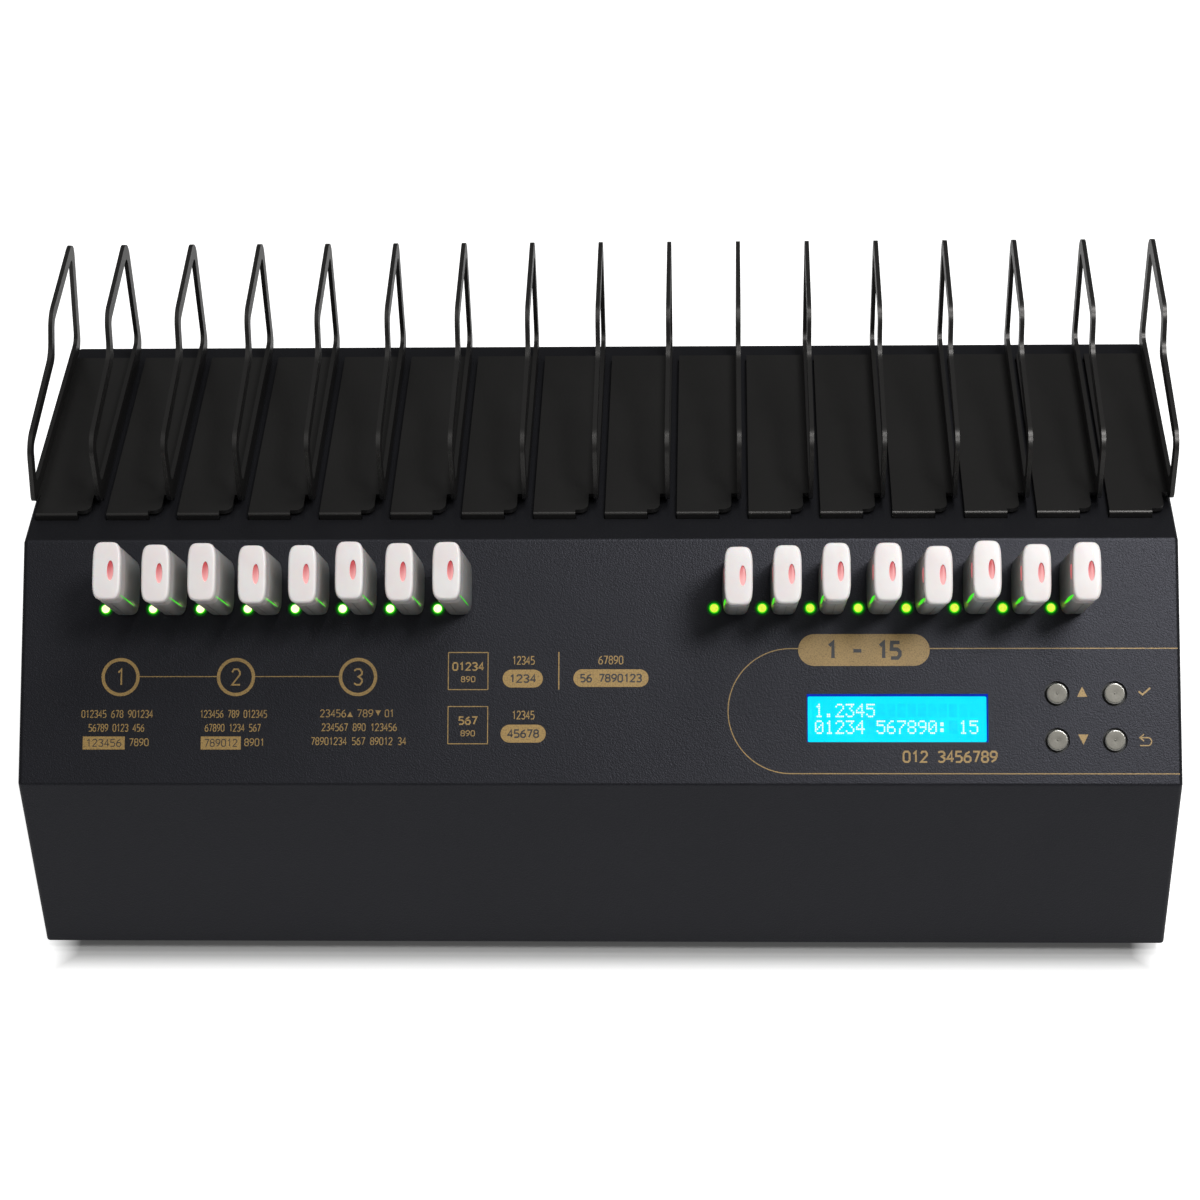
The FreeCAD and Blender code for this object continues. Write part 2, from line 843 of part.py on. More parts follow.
def build_lamps():
    body = new_body("led_lamps", several=True)
    y = panel_y(S.lamp_drop)
    seat = S.sheet_thickness + S.lamp_flange_depth
    lens = new_sketch(body, "lens", lift=-seat)
    flange = new_sketch(body, "flange", lift=-seat)
    legs = new_sketch(body, "legs", lift=-port_board_front)
    for start in (S.left_lamp_x, S.right_lamp_x):
        for step in range(count_of("port_count")):
            x = start + step * S.port_pitch
            draw_circle(lens, x, y, S.lamp_radius)
            draw_circle(flange, x, y, S.lamp_radius + S.lamp_flange)
            for side in (-1, 1):
                draw_circle(legs, x + side * S.lamp_leg_pitch / 2, y, S.lamp_leg / 2)
    round_edges(pad(lens, seat + S.lamp_stand), S.lamp_dome, at_height(2, S.lamp_stand))
    pad(flange, S.lamp_flange_height)
    pad(legs, port_board_front - seat)
    on_panel(body)
    return node(body)


def build_port_board(label, start):
    """One board with eight ports, its back carrying a hub chip and a ribbon header."""
    body = new_body(label)
    left = start - S.port_board_start
    right = start + S.drive_offset + group_span + S.port_board_end
    sheet_sketch = new_sketch(body, "board", lift=-port_board_front)
    draw_rectangle(sheet_sketch, left, panel_y(S.port_board_bottom), right, panel_y(S.port_board_top))
    pad(sheet_sketch, S.board_thickness, down=True)
    back = -port_board_front - S.board_thickness
    header = new_sketch(body, "header", lift=back)
    ribbon_x = S.left_ribbon_x if label.endswith("left") else S.right_ribbon_x
    draw_centred(header, ribbon_x, panel_y(S.port_block_drop), S.plug_block_width, S.plug_block_depth)
    pad(header, S.plug_block_height, down=True)
    chip = new_sketch(body, "chip", lift=back)
    draw_centred(chip, ribbon_x - S.hub_chip_offset, panel_y(S.port_block_drop), S.chip_size, S.chip_size)
    pad(chip, S.chip_height, down=True)
    holes = new_sketch(body, "holes", lift=-port_board_front)
    for x, y in port_board_corners(start):
        draw_circle(holes, x, y, screw_hole)
    pocket(holes, S.board_thickness + S.cut_past)
    on_panel(body)
    return node(body)


def port_board_corners(start):
    left = start - S.port_board_start + S.spacer_inset
    right = start + S.drive_offset + group_span + S.port_board_end - S.spacer_inset
    low = panel_y(S.port_board_bottom) + S.spacer_inset
    high = panel_y(S.port_board_top) - S.spacer_inset
    return [(x, y) for x in (left, right) for y in (low, high)]


def build_drive(number, x):
    """One flash drive: body, end cap with its lamp eye, and the metal plug."""
    y = panel_y(S.drive_drop)
    label = "flash_drive_%02d" % number
    lift = S.drive_lift
    shell = new_body(label + "_body")
    block = new_sketch(shell, "block", lift=lift)
    draw_centred(block, x, y, S.drive_width, S.drive_height)
    rounded = round_edges(pad(block, S.drive_length), S.drive_corner, along((0, 0, 1)))
    round_edges(rounded, S.drive_edge, at_height(2, lift))

    top = lift + S.drive_length
    cap = new_body(label + "_cap")
    lid = new_sketch(cap, "lid", lift=top)
    draw_centred(lid, x, y, S.drive_width - S.cap_step, S.drive_height - S.cap_step)
    lid_pad = round_edges(pad(lid, S.cap_length), S.drive_corner - S.cap_step / 2, along((0, 0, 1)))
    round_edges(lid_pad, S.cap_edge, at_height(2, top + S.cap_length))
    eye = new_sketch(cap, "eye", lift=top + S.cap_length)
    draw_ellipse(eye, x + S.eye_offset, y, S.eye_width / 2, S.eye_height / 2)
    pocket(eye, S.eye_depth)

    plug = new_body(label + "_plug")
    tube = new_sketch(plug, "tube", lift=lift)
    draw_centred(tube, x, y, S.plug_width, S.plug_height)
    pad(tube, S.plug_length + lift, down=True)
    hollow = new_sketch(plug, "hollow", lift=-S.plug_length)
    draw_rectangle(hollow, x - S.plug_width / 2 + S.plug_wall + S.plug_core,
                   y - S.plug_height / 2 + S.plug_wall,
                   x + S.plug_width / 2 - S.plug_wall, y + S.plug_height / 2 - S.plug_wall)
    pocket(hollow, S.plug_length, up=True)
    drive = compound(label, [shell, cap, plug])
    on_panel(drive)
    return node(drive)


def draw_ellipse(sketch, x, y, half_across, half_up):
    """Draws an upright ellipse as a closed curve of two sizes."""
    centre = FreeCAD.Vector(x.number, y.number, 0)
    tall = FreeCAD.Vector(x.number, y.number + half_up.number, 0)
    wide = FreeCAD.Vector(x.number + half_across.number, y.number, 0)
    geometry = sketch.addGeometry(Part.Ellipse(tall, wide, centre), False)
    sketch.exposeInternalGeometry(geometry)
    pin_point(sketch, geometry, 3, x, y)
    add_rule(sketch, "Distance", geometry + 1, size=2 * half_up)
    add_rule(sketch, "Distance", geometry + 2, size=2 * half_across)
    add_rule(sketch, "Vertical", geometry + 1)
    return sketch


# Display

def build_display_window():
    body = new_body("display_window")
    lens = new_sketch(body, "lens", lift=-S.sheet_thickness)
    draw_centred(lens, S.window_x, panel_y(S.window_drop), S.window_width + 2 * S.lens_margin,
                 S.window_height + 2 * S.lens_margin)
    pad(lens, S.lens_thickness, down=True)
    on_panel(body)
    return node(body)


def build_display_bezel():
    """The metal frame of the display: an open box whose rim holds the glass."""
    body = new_body("display_bezel")
    x, y = S.window_x, panel_y(S.window_drop)
    front = -S.sheet_thickness - S.lens_thickness
    frame = new_sketch(body, "frame", lift=front)
    draw_centred(frame, x, y, S.bezel_width, S.bezel_height)
    draw_centred(frame, x, y, S.window_width + S.lens_margin, S.window_height + S.bezel_rim)
    pad(frame, S.bezel_depth, down=True)
    cavity = new_sketch(body, "cavity", lift=front - S.bezel_depth)
    draw_centred(cavity, x, y, S.bezel_width - 2 * S.bezel_wall, S.bezel_height - 2 * S.bezel_wall)
    pocket(cavity, S.bezel_depth - S.bezel_rim, up=True)
    on_panel(body)
    return node(body)


def build_display_glass():
    """The glass cell and the light guide behind it."""
    x, y = S.window_x, panel_y(S.window_drop)
    front = -S.sheet_thickness - S.lens_thickness - S.bezel_rim
    cell = new_body("display_cell")
    drawn = new_sketch(cell, "glass", lift=front)
    draw_centred(drawn, x, y, S.bezel_width - S.glass_margin, S.bezel_height - S.glass_margin)
    pad(drawn, S.glass_thickness, down=True)
    guide = new_body("display_light_guide")
    back = new_sketch(guide, "guide", lift=front - S.glass_thickness)
    draw_centred(back, x, y, S.bezel_width - S.glass_margin, S.bezel_height - S.glass_margin)
    pad(back, S.bezel_depth - S.bezel_rim - S.glass_thickness, down=True)
    glass = compound("display_glass", [cell, guide])
    on_panel(glass)
    return node(glass)


def display_corners():
    half_x = S.display_board_width / 2 - S.spacer_inset
    half_y = S.display_board_height / 2 - S.display_hole_inset
    y = panel_y(S.window_drop)
    return [(S.window_x + a * half_x, y + b * half_y) for a in (-1, 1) for b in (-1, 1)]


def keypad_outline():
    """The keypad board's left, lower, right and upper edges."""
    (left, high), (right, _), (_, low), _ = button_places()
    return (left - S.keypad_margin, low - S.keypad_margin_y, right + S.keypad_margin, high + S.keypad_margin_y)


def keypad_corners():
    left, low, right, high = keypad_outline()
    inset = S.keypad_hole_inset
    return [(x, y) for x in (left + inset, right - inset) for y in (low + inset, high - inset)]


def build_display_board():
    body = new_body("display_board")
    x, y = S.window_x, panel_y(S.window_drop)
    board = new_sketch(body, "board", lift=-display_board_top)
    draw_centred(board, x, y, S.display_board_width, S.display_board_height)
    for hole_x, hole_y in display_corners():
        draw_circle(board, hole_x, hole_y, screw_hole)
    pad(board, S.board_thickness, down=True)
    header = new_sketch(body, "header", lift=-display_board_top - S.board_thickness)
    draw_centred(header, S.display_ribbon_x, y, S.plug_block_width, S.plug_block_depth)
    pad(header, S.plug_block_height, down=True)
    on_panel(body)
    return node(body)


def build_keypad_board():
    body = new_body("keypad_board")
    board = new_sketch(body, "board", lift=-display_board_top)
    draw_rectangle(board, *keypad_outline())
    for x, y in keypad_corners():
        draw_circle(board, x, y, screw_hole)
    pad(board, S.board_thickness, down=True)
    on_panel(body)
    return node(body)


# Push buttons

def build_button(label, x, y):
    """A metal cap with a retaining flange and a stem that enters its key switch."""
    body = new_body(label)
    flange_top = -S.sheet_thickness - S.fit_gap
    cap = new_sketch(body, "cap", lift=flange_top)
    draw_circle(cap, x, y, S.button_radius)
    disc = pad(cap, S.button_stand - flange_top)
    round_edges(disc, S.button_edge, at_height(2, S.button_stand))
    flange = new_sketch(body, "flange", lift=flange_top)
    draw_circle(flange, x, y, S.button_radius + S.button_flange)
    pad(flange, S.button_flange_height, down=True)
    stem = new_sketch(body, "stem", lift=flange_top)
    draw_circle(stem, x, y, S.stem_radius)
    pad(stem, display_board_top - S.switch_height + S.stem_engage + flange_top, down=True)
    on_panel(body)
    return node(body)


def build_key_switches():
    body = new_body("key_switches", several=True)
    block = new_sketch(body, "block", lift=-display_board_top)
    bore = new_sketch(body, "bore", lift=S.switch_height - display_board_top)
    for x, y in button_places():
        draw_centred(block, x, y, S.switch_size, S.switch_size)
        draw_circle(bore, x, y, S.stem_radius + S.stem_gap)
    pad(block, S.switch_height)
    pocket(bore, S.switch_bore_depth)
    on_panel(body)
    return node(body)


# Spacers, standoffs and screws

def build_standoffs():
    """Threaded spacers: on the back of the panel, long ones for the port boards, and on the pan."""
    body = new_body("panel_spacers", several=True)
    runs = [
        ("long", port_board_corners(S.left_lamp_x) + port_board_corners(S.right_lamp_x), port_board_front),
        ("short", display_corners() + keypad_corners(), display_board_top),
    ]
    for name, places, reach in runs:
        rings = new_sketch(body, name, lift=-S.sheet_thickness)
        for x, y in places:
            draw_circle(rings, x, y, S.spacer_radius)
            draw_circle(rings, x, y, screw_hole)
        pad(rings, reach - S.sheet_thickness, down=True)
    on_panel(body)
    pan_side = new_body("pan_standoffs", several=True)
    rings = new_sketch(pan_side, "rings", lift=S.sheet_thickness)
    for x, y in standoff_places():
        draw_circle(rings, x, y, S.spacer_radius)
        draw_circle(rings, x, y, screw_hole)
    pad(rings, S.standoff_height)
    in_case(pan_side)
    return node(compound("standoffs", [body, pan_side]))


def screw_group(body, name, role, places, seat, length, down):
    """Draws screws with cross heads; down points the heads against the plane's normal."""
    heads = new_sketch(body, name + "_heads", role, lift=seat)
    shanks = new_sketch(body, name + "_shanks", role, lift=seat)
    far = seat - S.screw_head_height if down else seat + S.screw_head_height
    across = new_sketch(body, name + "_slots_across", role, lift=far)
    upright = new_sketch(body, name + "_slots_upright", role, lift=far)
    for x, y in places:
        draw_circle(heads, x, y, S.screw_head_radius)
        draw_circle(shanks, x, y, S.stud_radius)
        draw_centred(across, x, y, S.screw_cross_length, S.screw_cross_width)
        draw_centred(upright, x, y, S.screw_cross_width, S.screw_cross_length)
    pad(heads, S.screw_head_height, down=down)
    pad(shanks, length, down=not down)
    pocket(across, S.screw_cross_depth, up=down)
    pocket(upright, S.screw_cross_depth, up=down)


def build_screws():
    """Every screw: under the pan, through the rear panel, in the fan and on the boards."""
    case_side = new_body("case_screws", several=True)
    screw_group(case_side, "bottom", "XY_Plane", bottom_screw_places() + standoff_places(), ZERO,
                S.case_screw_length, True)
    screw_group(case_side, "rear", "XZ_Plane", side_screw_places() + lip_screw_places(), -rear_outer,
                S.case_screw_length, True)
    screw_group(case_side, "fan", "XZ_Plane", fan_screw_places(), -rear_outer, S.fan_depth, True)
    screw_group(case_side, "main", "XY_Plane", standoff_places(), main_board_top,
                S.board_screw_length, False)
    in_case(case_side)
    panel_side = new_body("panel_screws", several=True)
    long_places = port_board_corners(S.left_lamp_x) + port_board_corners(S.right_lamp_x)
    screw_group(panel_side, "port", "XY_Plane", long_places, -port_board_front - S.board_thickness,
                S.board_screw_length, True)
    screw_group(panel_side, "front", "XY_Plane", display_corners() + keypad_corners(),
                -display_board_top - S.board_thickness, S.board_screw_length, True)
    on_panel(panel_side)
    return node(compound("screws", [case_side, panel_side]))


# Main board, power supply, inlet and rocker switch

def ribbon_start(drop, depth):
    """Where a ribbon leaves a header on the back of a panel board, in the case's frame."""
    sine = S.panel_rise / panel_length
    cosine = S.panel_depth / panel_length
    y = panel_y(drop) * cosine + depth * sine
    z = S.front_height + panel_y(drop) * sine - depth * cosine
    return y, z


def ribbon_corner(drop, depth, run):
    y, z = ribbon_start(drop, depth)
    return y + run * (S.panel_rise / panel_length), z - run * (S.panel_depth / panel_length)


def ribbon_routes():
    """Each ribbon: its X, the drop and depth of the header it leaves, and its first straight run."""
    port_depth = port_board_front + S.board_thickness + S.plug_block_height
    display_depth = display_board_top + S.board_thickness + S.plug_block_height
    return [
        (S.left_ribbon_x, S.port_block_drop, port_depth, S.ribbon_run),
        (S.right_ribbon_x, S.port_block_drop, port_depth, S.ribbon_run),
        (S.display_ribbon_x, S.window_drop, display_depth, S.display_ribbon_run),
    ]


def build_main_board():
    body = new_body("main_board")
    board = new_sketch(body, "board", lift=main_board_z)
    draw_rectangle(board, S.main_board_x, S.main_board_y, S.main_board_x + S.main_board_width,
                   S.main_board_y + S.main_board_depth)
    for x, y in standoff_places():
        draw_circle(board, x, y, screw_hole)
    pad(board, S.board_thickness)
    headers = new_sketch(body, "headers", lift=main_board_top)
    for x, drop, depth, run in ribbon_routes():
        y, _ = ribbon_corner(drop, depth, run)
        draw_centred(headers, x, y, S.plug_block_width, S.plug_block_depth)
    power_y = S.main_board_y + S.main_board_depth / 2
    draw_rectangle(headers, S.main_board_x, power_y - S.plug_block_width / 2,
                   S.main_board_x + S.plug_block_height, power_y + S.plug_block_width / 2)
    draw_centred(headers, fan_lead_x(), fan_lead_y(), S.plug_block_height + S.lead_pitch,
                 S.plug_block_depth)
    pad(headers, S.plug_block_height)
    middle_x = S.main_board_x + S.main_board_width / 2
    sink = new_sketch(body, "sink", lift=main_board_top)
    draw_centred(sink, middle_x, S.sink_y, S.sink_size, S.sink_size)
    pad(sink, S.sink_height)
    groove = new_sketch(body, "groove", lift=main_board_top + S.sink_base)
    step = (S.sink_size - S.sink_fin) / (S.sink_fins - 1)
    reach = S.sink_size / 2 + S.cut_past
    draw_rectangle(groove, middle_x - S.sink_size / 2 + S.sink_fin, S.sink_y - reach,
                   middle_x - S.sink_size / 2 + step, S.sink_y + reach)
    row_of([pocket(groove, S.sink_height, up=True)], "X_Axis", S.sink_fins - 1, step * (S.sink_fins - 2))
    chips = new_sketch(body, "chips", lift=main_board_top)
    for x in (middle_x + S.sink_size, middle_x - S.sink_size):
        draw_centred(chips, x, S.sink_y, S.chip_size, S.chip_size)
    pad(chips, S.chip_height)
    in_case(body)
    return node(body)


def build_power_supply():
    body = new_body("power_supply")
    block = new_sketch(body, "block", lift=S.sheet_thickness)
    draw_rectangle(block, S.supply_x, S.supply_y, S.supply_x + S.supply_width, S.supply_y + S.supply_depth)
    solid = pad(block, S.supply_height)
    top = S.sheet_thickness + S.supply_height
    round_edges(solid, S.supply_edge, at_height(2, top))
    slots = new_sketch(body, "slots", lift=top)
    first = S.supply_x + S.supply_width / 2 - S.supply_slot_pitch * (S.supply_slots - 1) / 2
    draw_centred(slots, first, S.supply_y + S.supply_depth / 2, S.supply_slot_width, S.supply_slot_length)
    row_of([pocket(slots, S.supply_slot_depth)], "X_Axis", S.supply_slots,
           (S.supply_slots - 1) * S.supply_slot_pitch)
    in_case(body)
    return node(body)


def inlet_pins():
    """The three contacts: the middle one sits lower."""
    return [(S.inlet_x + step * S.pin_pitch, S.inlet_z - (S.pin_offset if step == 0 else ZERO))
            for step in (-1, 0, 1)]


def build_power_inlet():
    body = new_body("power_inlet")
    x, z = S.inlet_x, S.inlet_z
    flange = new_sketch(body, "flange", "XZ_Plane", lift=-S.inlet_flange)
    draw_centred(flange, x, z, S.inlet_flange_x, S.inlet_flange_z)
    slab = pad(flange, S.inlet_flange)
    round_edges(slab, S.inlet_corner, along((0, 1, 0)))
    rim = new_sketch(body, "rim", "XZ_Plane", lift=-S.inlet_flange - S.inlet_rim)
    draw_centred(rim, x, z, S.inlet_width + 2 * S.inlet_rim_margin, S.inlet_height + 2 * S.inlet_rim_margin)
    pad(rim, S.inlet_rim)
    shell = new_sketch(body, "shell", "XZ_Plane")
    draw_centred(shell, x, z, S.inlet_width, S.inlet_height)
    pad(shell, S.inlet_depth)
    recess = new_sketch(body, "recess", "XZ_Plane", lift=-S.inlet_flange - S.inlet_rim)
    draw_centred(recess, x, z, S.inlet_width - 2 * S.inlet_wall, S.inlet_height - 2 * S.inlet_wall)
    pocket(recess, S.inlet_flange + S.inlet_rim + S.inlet_depth - S.inlet_floor, up=True)
    pins = new_sketch(body, "pins", "XZ_Plane", lift=S.inlet_depth - S.inlet_floor)
    tabs = new_sketch(body, "tabs", "XZ_Plane", lift=S.inlet_depth)
    for pin_x, pin_z in inlet_pins():
        draw_centred(pins, pin_x, pin_z, S.pin_width, S.pin_height)
        draw_centred(tabs, pin_x, pin_z, S.pin_width, S.pin_height)
    pad(pins, S.pin_length, down=True)
    pad(tabs, S.tab_length)
    in_case(body, y=rear_outer)
    return node(body)


def build_rocker_housing():
    body = new_body("rocker_housing")
    x, z = S.rocker_x, S.rocker_z
    flange = new_sketch(body, "flange", "XZ_Plane", lift=-S.switch_flange)
    draw_centred(flange, x, z, switch_outer_x + 2 * S.switch_margin, switch_outer_z + 2 * S.switch_margin)
    slab = pad(flange, S.switch_flange)
    round_edges(slab, S.switch_corner, along((0, 1, 0)))
    shell = new_sketch(body, "shell", "XZ_Plane")
    draw_centred(shell, x, z, switch_outer_x, switch_outer_z)
    pad(shell, S.switch_depth)
    hollow = new_sketch(body, "hollow", "XZ_Plane", lift=-S.switch_flange)
    draw_centred(hollow, x, z, S.rocker_width + 2 * S.rocker_gap,
                 S.rocker_length + 2 * S.rocker_swing_gap)
    pocket(hollow, S.switch_flange + S.switch_hollow, up=True)
    bore = new_sketch(body, "bore", "YZ_Plane", lift=x)
    draw_circle(bore, ZERO, z, S.rocker_pin_radius + S.rocker_pin_gap)
    pocket(bore, S.rocker_width + 2 * (S.rocker_gap + S.rocker_pin_length + S.rocker_end_gap), middle=True)
    in_case(body, y=rear_outer)
    return node(body)


def build_power_rocker():
    """The rocker in its own frame: pivot along X at the origin, valley facing the back."""
    body = new_body("power_rocker")
    half = S.rocker_length / 2
    rise = half * math.tan(math.radians(S.rocker_tilt.number))
    side = new_sketch(body, "side", "YZ_Plane")
    foot = half * S.rocker_taper
    draw_outline(side, [
        (-S.rocker_depth, -foot), (S.switch_flange + rise, -half), (S.switch_flange, ZERO),
        (S.switch_flange + rise, half), (-S.rocker_depth, foot),
    ])
    pad(side, S.rocker_width, middle=True)
    pins = new_sketch(body, "pins", "YZ_Plane")
    draw_circle(pins, ZERO, ZERO, S.rocker_pin_radius)
    pad(pins, S.rocker_width + 2 * (S.rocker_gap + S.rocker_pin_length), middle=True)
    place(body, S.rocker_x, front_y + rear_outer, S.foot_height + S.rocker_z, angle=S.rocker_tilt.number)
    return node(body)


# Fan

def build_fan_frame():
    """The frame in its own frame: the air axis along Z, which is turned to the back."""
    body = new_body("fan_frame")
    frame = new_sketch(body, "frame")
    draw_centred(frame, ZERO, ZERO, S.fan_size, S.fan_size)
    draw_circle(frame, ZERO, ZERO, S.fan_bore_radius)
    half = S.fan_hole_pitch / 2
    for a in (-1, 1):
        for b in (-1, 1):
            draw_circle(frame, a * half, b * half, S.fan_hole_radius)
    pad(frame, S.fan_depth)
    struts = new_sketch(body, "struts")
    reach = S.fan_bore_radius + S.fan_wall / 2
    draw_rectangle(struts, -reach, -S.strut_width / 2, reach, S.strut_width / 2)
    pad(struts, S.hub_plate)
    cross = new_sketch(body, "cross")
    draw_rectangle(cross, -S.strut_width / 2, -reach, S.strut_width / 2, reach)
    pad(cross, S.hub_plate)
    hub = new_sketch(body, "hub")
    draw_circle(hub, ZERO, ZERO, S.hub_radius)
    pad(hub, S.hub_plate)
    bearing = new_sketch(body, "bearing")
    draw_circle(bearing, ZERO, ZERO, S.bearing_radius)
    pad(bearing, S.bearing_height)
    bore = new_sketch(body, "bore")
    draw_circle(bore, ZERO, ZERO, S.shaft_radius + S.shaft_gap)
    pocket(bore, S.fan_depth, up=True)
    place(body, S.fan_x, front_y + rear_inner - S.fan_depth, S.foot_height + S.fan_z, angle=-90)
    return node(body)


def build_fan_rotor():
    body = new_body("fan_rotor")
    low = S.hub_plate + S.rotor_gap
    high = S.fan_depth - S.rotor_gap
    cup = new_sketch(body, "cup", lift=low)
    draw_circle(cup, ZERO, ZERO, S.rotor_hub_radius)
    pad(cup, high - low)
    hollow = new_sketch(body, "hollow", lift=low)
    draw_circle(hollow, ZERO, ZERO, S.rotor_hub_radius - S.blade_thickness)
    pocket(hollow, high - low - S.blade_thickness, up=True)
    shaft = new_sketch(body, "shaft", lift=S.rotor_gap)
    draw_circle(shaft, ZERO, ZERO, S.shaft_radius)
    pad(shaft, high - S.rotor_gap - S.blade_thickness / 2)
    start = S.rotor_hub_radius - S.blade_thickness / 2
    blade = new_sketch(body, "blade", "YZ_Plane", lift=start)
    sine = math.sin(math.radians(S.blade_pitch_angle.number))
    cosine = math.cos(math.radians(S.blade_pitch_angle.number))
    half = S.blade_share * (high - low) / 2
    middle = (high + low) / 2
    across = half * (cosine / sine)
    thick = S.blade_thickness / 2 / sine
    draw_outline(blade, [
        (-across - thick, middle - half), (-across + thick, middle - half),
        (across + thick, middle + half), (across - thick, middle + half),
    ])
    ring_of([pad(blade, S.rotor_radius - start)], "Z_Axis", S.blade_count)
    place(body, S.fan_x, front_y + rear_inner - S.fan_depth, S.foot_height + S.fan_z, angle=-90)
    return node(body)


# Rack brackets

def offset_corner(before, corner, after, distance):
    """Moves a corner inward so that both its edges shift by one distance."""
    normals = []
    for (y0, z0), (y1, z1) in ((before, corner), (corner, after)):
        length = root((y1 - y0) * (y1 - y0) + (z1 - z0) * (z1 - z0))
        normals.append(((z1 - z0) / length, (y0 - y1) / length))
    (a, b), (c, d) = normals
    share = distance / (1 + a * c + b * d)
    return corner[0] + (a + c) * share, corner[1] + (b + d) * share


loop_foot = S.rack_lift + S.rack_sheet


def loop_corners():
    """The loop's outer corners from its front foot round to its rear foot."""
    return [
        (S.loop_front, loop_foot),
        (S.loop_front, S.loop_low_top),
        (S.loop_step_foot, S.loop_step_foot_top),
        (S.loop_step_head, S.loop_step_head_top),
        (S.loop_rear, S.loop_peak),
        (S.loop_rear, loop_foot),
    ]


def near_corners(corners):
    """Makes a test for edges across the sheet at given corners."""
    across = along((1, 0, 0))

    def test(edge):
        if not across(edge):
            return False
        point = edge.CenterOfMass
        return any(math.hypot(point.y - y.number, point.z - z.number) < NEAR for y, z in corners)
    return test


def build_loop(label, x):
    """The upright loop of one bracket: a flat sheet outline with a window."""
    body = new_body(label)
    corners = loop_corners()
    outline = new_sketch(body, "outline", "YZ_Plane")
    draw_outline(outline, corners + [
        (S.plate_rear, loop_foot), (S.plate_rear, S.rack_lift),
        (S.notch_end, S.rack_lift), (S.notch_end, loop_foot),
    ])
    rounded = round_edges(pad(outline, S.rack_sheet), S.loop_corner, near_corners(corners[1:-1]))
    round_edges(rounded, S.loop_foot_corner, near_corners([corners[0], corners[-1]]))
    window = new_sketch(body, "window", "YZ_Plane")
    inner = [(S.loop_front + S.loop_band, S.loop_rail)]
    for before, corner, after in zip(corners, corners[1:], corners[2:]):
        inner.append(offset_corner(before, corner, after, S.loop_band))
    inner.append((S.loop_rear - S.loop_band, S.loop_rail))
    draw_outline(window, inner)
    cut = pocket(window, S.rack_sheet, up=True)
    round_edges(cut, S.loop_inner_corner, near_corners(inner))
    place(body, x, ZERO, ZERO)
    return body


def build_bracket(number):
    """One rack bracket: a plate on two pressed rests, its two lips, and the loop beside it."""
    label = "rack_bracket_%02d" % number
    body = new_body(label + "_plate")
    left = S.rack_gap + S.fit_gap
    loop_face = S.rack_pitch - S.rack_sheet
    notch = loop_face - S.notch_width
    step = S.plate_front + S.plate_step
    joined = loop_face + S.rack_sheet / 2
    corners = [
        (left, S.plate_front), (left + S.lip_width, S.plate_front), (left + S.lip_width, step),
        (notch, step), (notch, S.notch_end), (joined, S.notch_end), (joined, S.plate_rear),
    ]
    if number == 1:
        edge = S.rack_sheet / 2
        corners += [(edge, S.plate_rear), (edge, S.notch_end), (left, S.notch_end)]
    else:
        corners += [(left, S.plate_rear)]
    flat = new_sketch(body, "flat", lift=S.rack_lift)
    draw_outline(flat, corners)
    upright = along((0, 0, 1))

    def outer_corner(edge):
        point = edge.CenterOfMass
        return upright(edge) and math.hypot(point.x - notch.number, point.y - step.number) < NEAR
    round_edges(pad(flat, S.rack_sheet), S.plate_corner, outer_corner)
    rests = new_sketch(body, "rests")
    for y in (step + S.rest_inset, S.plate_rear - S.rest_inset):
        draw_circle(rests, left + S.lip_width / 2, y, S.rest_radius)
    pad(rests, S.rack_lift + S.rack_sheet / 2)
    lips = new_sketch(body, "lips", lift=loop_foot)
    draw_rectangle(lips, left, S.plate_front, left + S.lip_width, S.plate_front + S.rack_sheet)
    draw_rectangle(lips, left, S.plate_rear - S.rack_sheet, left + S.lip_width, S.plate_rear)
    lip_pad = pad(lips, loop_foot + S.lip_drop, down=True)

    def lip_edge(edge):
        point = edge.CenterOfMass
        folded = abs(point.y - S.plate_front.number) < NEAR
        return folded and abs(point.z - loop_foot.number) < NEAR and edge.BoundBox.XLength > LONG
    round_edges(lip_pad, S.lip_bend, lip_edge)
    members = [body, build_loop(label + "_loop", loop_face)]
    if number == 1:
        end = build_loop(label + "_end_loop", ZERO)
        place(end, ZERO, ZERO, ZERO, axis=(0, 1, 0), angle=S.end_loop_lean.number)
        members.append(end)
    bracket = doc.addObject("Part::MultiFuse", label)
    bracket.Label = label
    bracket.Shapes = members
    bracket.Refine = True
    place(bracket, -half_width + (number - 1) * S.rack_pitch, front_y + S.panel_depth, deck_z)
    return node(bracket)


# Cables inside the case

def fan_lead_x():
    return S.fan_x - S.fan_size / 2 + S.plug_block_height


def fan_lead_y():
    return S.main_board_y + S.main_board_depth - S.plug_block_depth


def bent_strip(start, corner, end, thickness, radius):
    """A flat strip in the YZ plane that turns once, as a face."""
    first = (corner - start).normalize()
    second = (end - corner).normalize()
    turn = first.getAngle(second)
    cut = radius * math.tan(turn / 2)
    side = 1 if first.cross(second).x > 0 else -1
    rails = []
    for offset in (-thickness / 2, thickness / 2):
        a = FreeCAD.Vector(1, 0, 0).cross(first) * offset
        b = FreeCAD.Vector(1, 0, 0).cross(second) * offset
        centre = corner - first * cut + FreeCAD.Vector(1, 0, 0).cross(first) * side * radius
        inner = radius - side * offset
        middle = centre + (corner - centre).normalize() * inner
        rails.append((start + a, corner - first * cut + a, middle, corner + second * cut + b, end + b))
    low, high = rails
    edges = [
        Part.LineSegment(low[0], low[1]), Part.Arc(low[1], low[2], low[3]), Part.LineSegment(low[3], low[4]),
        Part.LineSegment(low[4], high[4]), Part.LineSegment(high[4], high[3]),
        Part.Arc(high[3], high[2], high[1]), Part.LineSegment(high[1], high[0]),
        Part.LineSegment(high[0], low[0]),
    ]
    return Part.Face(Part.Wire([edge.toShape() for edge in edges]))


